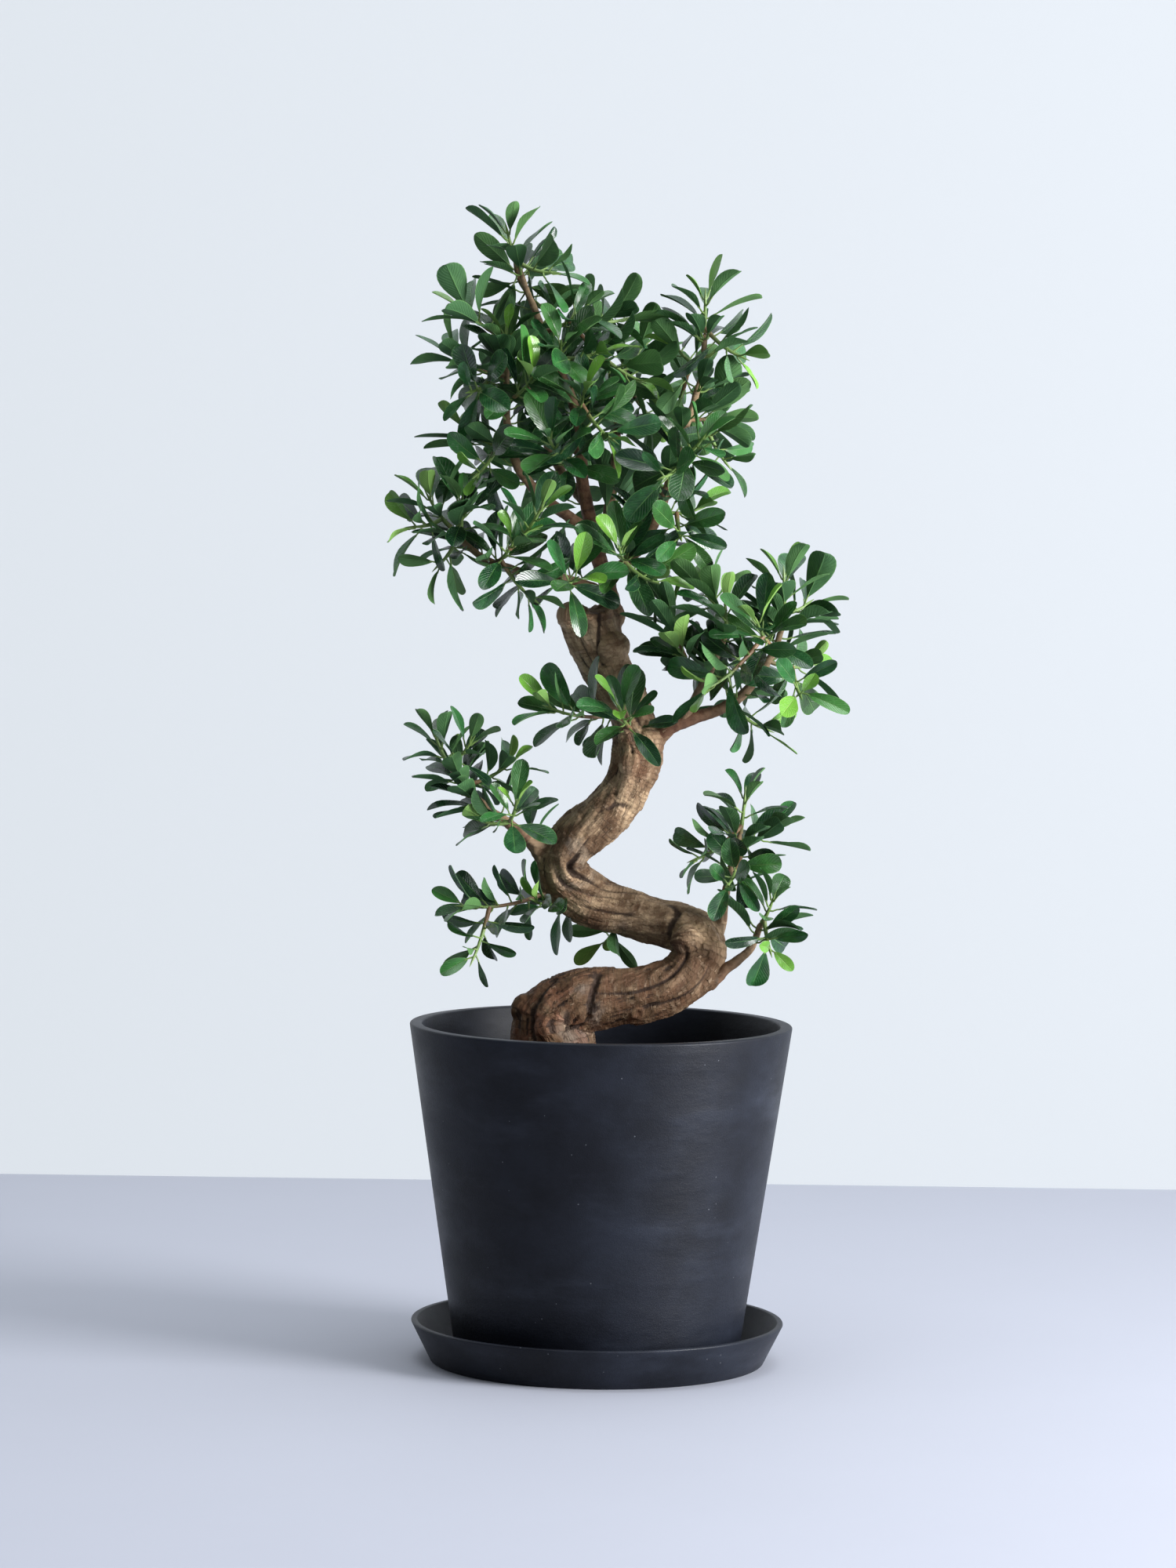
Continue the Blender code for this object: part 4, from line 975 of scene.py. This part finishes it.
def make_branch(name, line, material, dice):
    """A branch with a wobbly, lumpy skin and leaf-scar rings."""
    fine = smooth_line(line, 1.3)
    away = distances_along(fine)
    sides = 20
    wobble = np.column_stack([value_noise(fine[:, :3] / 11, seed) for seed in (71, 72, 73)])
    fine[:, :3] += 0.7 * wobble * soft_step(away, 4, 16)[:, None]
    angles = np.arange(sides) * math.tau / sides
    relief = np.zeros((len(fine), sides))
    scar = np.zeros((len(fine), sides))
    for where, turn in scar_places(away[-1], dice):
        ring = np.exp(-((away - where) / 0.9) ** 2)
        facing = 0.35 + 0.65 * np.maximum(0, np.cos(angles - turn))
        relief += 0.10 * fine[:, 3:4] * ring[:, None] * facing
        scar += np.exp(-((away - where - 1.1) / 0.7) ** 2)[:, None] * facing
    around = np.stack([np.broadcast_to(away[:, None], relief.shape),
                       np.broadcast_to(5 * np.cos(angles), relief.shape),
                       np.broadcast_to(5 * np.sin(angles), relief.shape)], axis=-1).reshape(-1, 3)
    relief += 0.09 * fine[:, 3:4] * fractal(around, (9, 2.6, 2.6), 79).reshape(relief.shape)
    fine[-3:, 3] *= (0.9, 0.65, 0.3)
    points, faces = tube_parts(fine, sides, relief)
    parts = Parts()
    age = soft_step(fine[:, 3], 2.3, 5.5)
    parts.add(points, faces, age=np.repeat(age, sides), scar=np.clip(scar, 0, 1).ravel())
    show(name, parts.mesh(name), "branch_bark", material, sharp=180)


# ---- Leaves ----

LEAF_COLUMNS = np.array((-1.0, -0.62, -0.28, -0.06, 0.0, 0.06, 0.28, 0.62, 1.0))
LEAF_ROWS = 12
LEAF_SHARES = (1 - np.cos(np.pi * (np.arange(LEAF_ROWS) + 0.9) / (LEAF_ROWS + 0.8))) / 2


def leaf_topology():
    """Faces of a leaf and which are its underside. Its points are the base, the tip, then both sheets."""
    columns = len(LEAF_COLUMNS)
    below = 2 + LEAF_ROWS * columns

    def top(row, column):
        return 2 + row * columns + column

    def under(row, column):
        if column in (0, columns - 1):
            return top(row, column)
        return below + row * (columns - 2) + column - 1

    faces, kinds = [], []
    last = LEAF_ROWS - 1
    for column in range(columns - 1):
        faces.append((0, top(0, column + 1), top(0, column)))
        faces.append((0, under(0, column), under(0, column + 1)))
        faces.append((1, top(last, column), top(last, column + 1)))
        faces.append((1, under(last, column + 1), under(last, column)))
        kinds += [0, 1, 0, 1]
        for row in range(last):
            faces.append((top(row, column), top(row, column + 1),
                          top(row + 1, column + 1), top(row + 1, column)))
            faces.append((under(row, column), under(row + 1, column),
                          under(row + 1, column + 1), under(row, column + 1)))
            kinds += [0, 1]
    return faces, kinds


LEAF_FACES, LEAF_KINDS = leaf_topology()


class LeafShape:
    """How one leaf is cut and bent. Angles are in radians and lengths in millimetres."""

    def __init__(self, dice, length):
        self.length = length
        self.width = length * dice.choice((0.35, 0.38, 0.41, 0.44, 0.47, 0.51, 0.57))
        self.base_power = dice.uniform(0.85, 1.2)
        self.tip_power = dice.uniform(0.42, 0.62)
        self.fold = math.radians(dice.uniform(8, 24))
        self.curl = math.radians(dice.uniform(5, 38))
        self.twist = math.radians(dice.uniform(-16, 16))
        self.wave = dice.uniform(0.1, 0.7)
        self.phase = dice.uniform(0, math.tau)

    def half_width(self, share):
        top = self.base_power / (self.base_power + self.tip_power)
        most = top ** self.base_power * (1 - top) ** self.tip_power
        return self.width / 2 * share ** self.base_power * (1 - share) ** self.tip_power / most


def leaf_points(base, along, across, up, shape, shares=LEAF_SHARES, columns=LEAF_COLUMNS, thickness=0.42):
    """The leaf's points in the order of leaf_topology, and the (across, along) place of each on the blade."""
    bend = shape.curl * shares
    reach = shape.length * np.sin(bend) / shape.curl
    drop = shape.length * (1 - np.cos(bend)) / shape.curl
    middle = base + along * reach[:, None] - up * drop[:, None]
    rise = up * np.cos(bend)[:, None] + along * np.sin(bend)[:, None]
    turn = (shape.twist * shares)[:, None]
    side = across * np.cos(turn) + rise * np.sin(turn)
    rise = rise * np.cos(turn) - across * np.sin(turn)
    half = shape.half_width(shares)
    ripple = shape.wave * np.sin(shares * 9 + shape.phase)
    outward = half[:, None] * columns * math.cos(shape.fold)
    lift = half[:, None] * np.abs(columns) ** 1.25 * math.sin(shape.fold)
    lift = lift + (ripple * np.minimum(1, half / 4))[:, None] * columns ** 2 * np.where(columns > 0, 1, -0.8)
    top = middle[:, None] + side[:, None] * outward[..., None] + rise[:, None] * lift[..., None]
    rib = np.exp(-(columns / 0.08) ** 2)
    depth = thickness * (1 + 1.1 * rib * (1 - shares)[:, None]) * np.minimum(1, half / 2)[:, None]
    under = top - rise[:, None] * depth[..., None]
    tip = base + along * shape.length * math.sin(shape.curl) / shape.curl
    tip = tip - up * shape.length * (1 - math.cos(shape.curl)) / shape.curl
    points = np.vstack([base, tip, top.reshape(-1, 3), under[:, 1:-1].reshape(-1, 3)])
    places = np.stack(np.broadcast_arrays(columns, shares[:, None], 0.0), axis=-1)
    places = np.vstack([(0, 0, 0), (0, 1, 0), places.reshape(-1, 3), places[:, 1:-1].reshape(-1, 3)])
    return points, places


PROBE_SHARES = np.array((0.3, 0.6, 0.88))
PROBE_COLUMNS = np.array((-1.0, 0.0, 1.0))


def leaf_probe(frame_of_leaf, shape):
    """A few triangles over the blade, for finding what it would cut through."""
    points, _ = leaf_points(*frame_of_leaf, shape, PROBE_SHARES, PROBE_COLUMNS)
    corners = points[:11]
    faces = [(2, 3, 5), (3, 6, 5), (3, 4, 6), (4, 7, 6), (5, 6, 8), (6, 9, 8), (6, 7, 9), (7, 10, 9),
             (8, 9, 1), (9, 10, 1), (0, 3, 2), (0, 4, 3)]
    return corners, BVHTree.FromPolygons([Vector(corner) for corner in corners], faces)


def turned_about(vector, axis, angle):
    """The vector turned round a unit axis."""
    return (vector * math.cos(angle) + np.cross(axis, vector) * math.sin(angle)
            + axis * (axis @ vector) * (1 - math.cos(angle)))


def outward(axis, turn):
    """A direction square to the axis, turned round it."""
    return turned_about(unit(np.cross(axis, UP if abs(axis[2]) < 0.95 else FRONT)), axis, turn)


class Foliage:
    """Grows every shoot's stems and leaves, keeping each leaf clear of the wood and of other leaves."""

    def __init__(self, lines):
        self.lines = lines
        self.wood = np.vstack([smooth_line(line, 3) for line in lines.values()])
        self.dice = random.Random(SEED)
        self.probes = []
        self.centres = []
        self.used = []
        self.stems = {name: self.plan_shoot(*shoot) for name, shoot in SHOOTS.items()}

    def host_place(self, line, tip, used):
        """Where a stem with this tip leaves a line: a little below the tip, and where none does yet."""
        away = np.linalg.norm(line[:, :3] - tip, axis=1)
        above = np.maximum(0, line[:, 2] - tip[2] + 18)
        crowd = np.zeros(len(line))
        for other in used:
            crowd += np.linalg.norm(line[:, :3] - other, axis=1) < 10
        return line[(away + 0.45 * above + 60 * crowd).argmin()]

    def stem(self, start, tip, skip):
        """A stem that leaves its wood sideways, turns up to its tip, and stays clear of other wood."""
        side = np.cross(tip - start, UP)
        side = unit(side) if np.linalg.norm(side) > 1 else np.array((1.0, 0, 0))
        length = np.linalg.norm(tip - start)
        best = None
        for down, across in ((0.16, 0), (0.26, 0.12), (0.26, -0.12), (0.05, 0.25), (0.05, -0.25), (0.4, 0)):
            middle = (start + tip) / 2 + (side * across - UP * down) * length
            share = np.linspace(0, 1, 6)[:, None]
            points = start * (1 - share) ** 2 + middle * 2 * share * (1 - share) + tip * share ** 2
            fine = smooth_line(tapered(points, *STEM_RADII), 2)
            free = fine[np.linalg.norm(fine[:, :3] - start, axis=1) > skip]
            away = np.linalg.norm(free[:, None, :3] - self.wood[None, :, :3], axis=2) - self.wood[:, 3]
            room = away.min() if len(free) else 0.0
            if best is None or room > best[0] + 0.5:
                best = (room, fine)
            if room > 2:
                break
        return best[1]

    def plan_shoot(self, host, tips):
        """The lines of a shoot's stems: the first from its host, the others from the first."""
        stems = []
        for number, tip in enumerate(np.array(tips, float)):
            if number == 0:
                place = self.host_place(self.lines[host], tip, self.used)
                self.used.append(place[:3])
                stems.append(self.stem(place[:3], tip, place[3] + 5))
            else:
                first = stems[0]
                place = self.host_place(first[len(first) // 5:len(first) * 3 // 4 + 1], tip, [])
                stems.append(self.stem(place[:3], tip, 6))
        return stems

    def add_stem(self, parts, line):
        """The stem, swollen at each joint, with its pointed bud."""
        away = distances_along(line)
        joints = 0.16 * np.maximum(0, np.cos(away * math.tau / LEAF_SPACING)) ** 6
        line = line.copy()
        line[:, 3] += joints
        wood = soft_step(away[-1] - away, 8, 46)
        points, faces = tube_parts(line, 8)
        parts.add(points, faces, 2, blade=np.zeros((1, 3)), tone=np.repeat(wood, 8), youth=0.0)
        direction = unit(line[-1, :3] - line[-4, :3])
        shares = np.linspace(0, 1, 6)
        bud = np.column_stack([line[-1, :3] + direction * shares[:, None] * 9 - direction,
                               1.25 * (1 - shares) ** 0.8 + 0.12])
        points, faces = tube_parts(bud, 6)
        parts.add(points, faces, 2, blade=np.zeros((1, 3)), tone=0.0, youth=1.0)

    def clashes(self, frame_of_leaf, shape, own_wood):
        """How much a leaf would cut through wood, and through other leaves."""
        corners, probe = leaf_probe(frame_of_leaf, shape)
        outer = corners[1:]
        away = np.linalg.norm(outer[:, None] - self.wood[None, :, :3], axis=2) - self.wood[:, 3]
        wood = int((away < 1.5).sum())
        stems = np.linalg.norm(outer[5:, None] - own_wood[None, :, :3], axis=2)
        wood += int((stems < 2.5).any())
        middle = corners.mean(axis=0)
        leaves = 0
        if self.centres:
            near = np.flatnonzero(np.linalg.norm(np.array(self.centres) - middle, axis=1) < 44)
            leaves = sum(bool(probe.overlap(self.probes[index])) for index in near)
        return wood, leaves, probe, middle

    def grow_leaf(self, parts, point, axis, out, spread, shape, tone, youth, own_wood, bark=0.0):
        """One leaf on its stalk, turned until it finds room, or none if it finds no room."""
        best = None
        for attempt in range(MOST_TRIES):
            swing = 0.30 * ((attempt + 1) // 2) * (1 if attempt % 2 else -1)
            lean = spread + (0.12 * (attempt // 3) if attempt % 2 else -0.10 * (attempt // 3))
            away = turned_about(out, axis, swing)
            along = unit(axis * math.cos(lean) + away * math.sin(lean) + UP * LEAF_LIFT)
            facing = unit(axis * 0.75 + UP * 0.55 - along * 0.05)
            across = np.cross(along, facing)
            if np.linalg.norm(across) < 0.2:
                across = np.cross(along, axis)
            across = unit(across)
            up = np.cross(across, along)
            stalk = 0.15 * shape.length + 1.5
            start = point + unit(axis * 0.5 + away) + away * bark
            base = point + unit(along + away * 0.25 + axis * 0.1) * stalk + away * bark
            leaf_frame = (base, along, across, up)
            wood, leaves, probe, middle = self.clashes(leaf_frame, shape, own_wood)
            score = 10 * wood + leaves
            if best is None or score < best[0]:
                best = (score, leaf_frame, start, away, probe, middle)
            if score == 0:
                break
        score, leaf_frame, start, away, probe, middle = best
        if score > 1:
            return
        base, along = leaf_frame[:2]
        self.probes.append(probe)
        self.centres.append(middle)
        points, places = leaf_points(*leaf_frame, shape)
        parts.add(points, LEAF_FACES, LEAF_KINDS, blade=places, tone=tone, youth=youth)
        bend = [start - away * 1.2, start + (base - start) * 0.45 - UP * 0.5, base + along * 0.5,
                base + along * 3.5 - leaf_frame[3] * 0.5]
        stalk_line = smooth_line(tapered(bend, 0.85, 0.6), 2.5)
        points, faces = tube_parts(stalk_line, 6)
        parts.add(points, faces, 2, blade=np.zeros((1, 3)), tone=0.0, youth=youth)

    def grow_shoot(self, name):
        """All of a shoot: leaves wind up each stem, lower ones leaning out more and darker."""
        parts = Parts()
        dice = self.dice
        full_length = LEAF_LENGTH * (SMALL_LEAF_SHARE if name.startswith(SMALL_LEAVED) else 1.0)
        own_wood = np.vstack(self.stems[name])
        for line in self.stems[name]:
            self.add_stem(parts, line)
            away = distances_along(line)
            turn = dice.uniform(0, math.tau)
            leafy = min(away[-1] * LEAFY_SHARE, LONGEST_LEAFY)
            count = max(7, round(leafy / LEAF_SPACING))
            fresh = dice.random() < FRESH_SHARE
            for index in range(count):
                back = leafy * (index / count) ** 0.9
                row = min(len(line) - 2, np.searchsorted(away, away[-1] - back))
                axis = unit(line[row, :3] - line[max(0, row - 3), :3])
                out = outward(axis, turn)
                youngest = index < YOUNG_LEAVES
                share = index / max(1, count - 1)
                spread = math.radians(23 + 50 * share ** 0.65 + dice.uniform(-9, 9))
                length = full_length * dice.uniform(0.86, 1.16)
                if youngest:
                    length *= dice.uniform(0.62, 0.85)
                shape = LeafShape(dice, length)
                if youngest and fresh:
                    youth = dice.uniform(0.55, 1.0)
                else:
                    youth = max(0.0, dice.gauss(0.06, 0.07) - 0.05 * share)
                tone = min(1.0, max(0.0, dice.gauss(0.62 - 0.5 * share, 0.26)))
                self.grow_leaf(parts, line[row, :3], axis, out, spread, shape, tone, youth, own_wood)
                turn += GOLDEN_ANGLE
        self.clothe_host(parts, name, own_wood)
        return parts

    def clothe_host(self, parts, name, own_wood):
        """Older, darker leaves on the thin branch that the shoot grows from, near where it leaves it."""
        dice = self.dice
        host = SHOOTS[name][0]
        if host == "trunk":
            return
        line = smooth_line(self.lines[host], 2)
        middle = np.linalg.norm(line[:, :3] - self.stems[name][0][0, :3], axis=1).argmin()
        turn = dice.uniform(0, math.tau)
        for _ in range(HOST_LEAVES):
            row = int(np.clip(middle + dice.uniform(-15, 15), 12, len(line) - 4))
            if line[row, 3] > THICKEST_LEAFY:
                continue
            axis = unit(line[row + 2, :3] - line[row - 2, :3])
            out = outward(axis, turn)
            shape = LeafShape(dice, LEAF_LENGTH * dice.uniform(0.8, 1.1))
            spread = math.radians(dice.uniform(52, 84))
            tone = dice.uniform(0.05, 0.5)
            self.grow_leaf(parts, line[row, :3], axis, out, spread, shape, tone, 0.0, own_wood, line[row, 3])
            turn += GOLDEN_ANGLE


# ---- Stage, lights and camera ----

def make_plane(name, corners, material):
    mesh = bpy.data.meshes.new(name)
    mesh.from_pydata(corners, [], [(0, 1, 2, 3)])
    mesh.materials.append(material)
    placed(name, mesh)


def paint(name, colour, scale, roughness, **constants):
    """Plain paint, faintly cloudy."""
    look = Finish(name)
    paler = tint(*(channel * 1.06 for channel in colour[:3]))
    cloudy = look.mix(look.noise(look.place(), scale, 4.0, 0.6), colour, paler)
    look.finish(cloudy, roughness, **constants)
    return look


def make_stage():
    """A pale floor and a pale wall, which can be seen through from behind."""
    reach = FLOOR_REACH
    look = paint("floor_paint", tint(0.365, 0.38, 0.44), 3.0, 0.7)
    make_plane("floor", [(-reach, -reach, 0), (reach, -reach, 0), (reach, reach, 0), (-reach, reach, 0)],
               look.material)
    look = paint("wall_paint", tint(0.10, 0.105, 0.115), 1.5, 0.9,
                 Emission_Strength=0.665, Emission_Color=tint(0.885, 0.945, 1.0))
    clear = look.node("BsdfTransparent")
    side = look.node("NewGeometry").outputs["Backfacing"]
    seen = look.node("MixShader", {0: side, 1: look.shader.outputs[0], 2: clear.outputs[0]})
    make_plane("wall", [(-reach, WALL_Y, 0), (reach, WALL_Y, 0), (reach, WALL_Y, WALL_HEIGHT),
                        (-reach, WALL_Y, WALL_HEIGHT)], look.surface(seen))


def make_camera():
    camera = placed("camera", bpy.data.cameras.new("camera"))
    camera.data.lens = CAMERA_LENS
    camera.data.sensor_width = 36.0
    camera.data.clip_end = 50.0
    camera.location = CAMERA_PLACE
    look = Matrix.Rotation(math.radians(90 - CAMERA_PITCH), 4, "X")
    roll = Matrix.Rotation(math.radians(CAMERA_ROLL), 4, "Z")
    camera.rotation_euler = (look @ roll).to_euler()
    bpy.context.scene.camera = camera


def add_light(name, place, aim, size, power, colour):
    lamp = bpy.data.lights.new(name, "AREA")
    lamp.shape = "RECTANGLE"
    lamp.size, lamp.size_y = size
    lamp.energy = power
    lamp.color = colour
    light = placed(name, lamp)
    light.location = place
    light.rotation_euler = (Vector(aim) - Vector(place)).to_track_quat("-Z", "Y").to_euler()


def make_lights():
    """Soft light from a window at the right and from above, in a room that is darker at the left."""
    world = bpy.data.worlds.new("studio")
    bpy.context.scene.world = world
    world.use_nodes = True
    sky = world.node_tree.nodes["Background"]
    sky.inputs["Color"].default_value = tint(0.90, 0.95, 1.0)
    nodes, links = world.node_tree.nodes, world.node_tree.links
    where = nodes.new("ShaderNodeTexCoord")
    facing = nodes.new("ShaderNodeVectorMath")
    facing.operation = "DOT_PRODUCT"
    facing.inputs[1].default_value = BRIGHT_SIDE
    brighter = nodes.new("ShaderNodeMapRange")
    brighter.inputs["From Min"].default_value = -0.45
    brighter.inputs["From Max"].default_value = 0.9
    brighter.inputs["To Min"].default_value = 0.06
    brighter.inputs["To Max"].default_value = 0.90
    links.new(where.outputs["Generated"], facing.inputs[0])
    links.new(facing.outputs["Value"], brighter.inputs["Value"])
    links.new(brighter.outputs["Result"], sky.inputs["Strength"])
    add_light("window", (2.3, -1.25, 0.95), (0, 0, 0.30), (1.1, 1.85), 165, (0.985, 0.985, 1.0))
    add_light("ceiling", (0.1, -0.2, 2.9), (0, 0, 0.5), (2.4, 1.5), 44, (0.94, 0.97, 1.0))


def main():
    make_camera()
    make_lights()
    make_stage()
    bpy.context.scene.view_settings.view_transform = "Standard"
    make_saucer(charcoal_resin("saucer_resin", 0.0012))
    make_pot(charcoal_resin("pot_resin", 0.0016))
    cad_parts["drain_net"].material_slots[0].material = net_plastic()
    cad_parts["drainage_gravel"].material_slots[0].material = gravel()
    make_soil(loose_soil())
    make_trunk(bark())
    thin_bark = branch_bark()
    dice = random.Random(SEED)
    lines = {"trunk": smooth_line(TRUNK, 8)[6:]}
    for name, (_, first_radius, last_radius, points) in BRANCHES.items():
        lines[name] = smooth_line(tapered(points, first_radius, last_radius), 6)
        make_branch(name, lines[name], thin_bark, dice)
    foliage = Foliage(lines)
    materials = (leaf("leaf_top", False), leaf("leaf_underside", True), green_stem())
    for name in SHOOTS:
        show(name, foliage.grow_shoot(name).mesh(name), "foliage", *materials, sharp=55)


main()
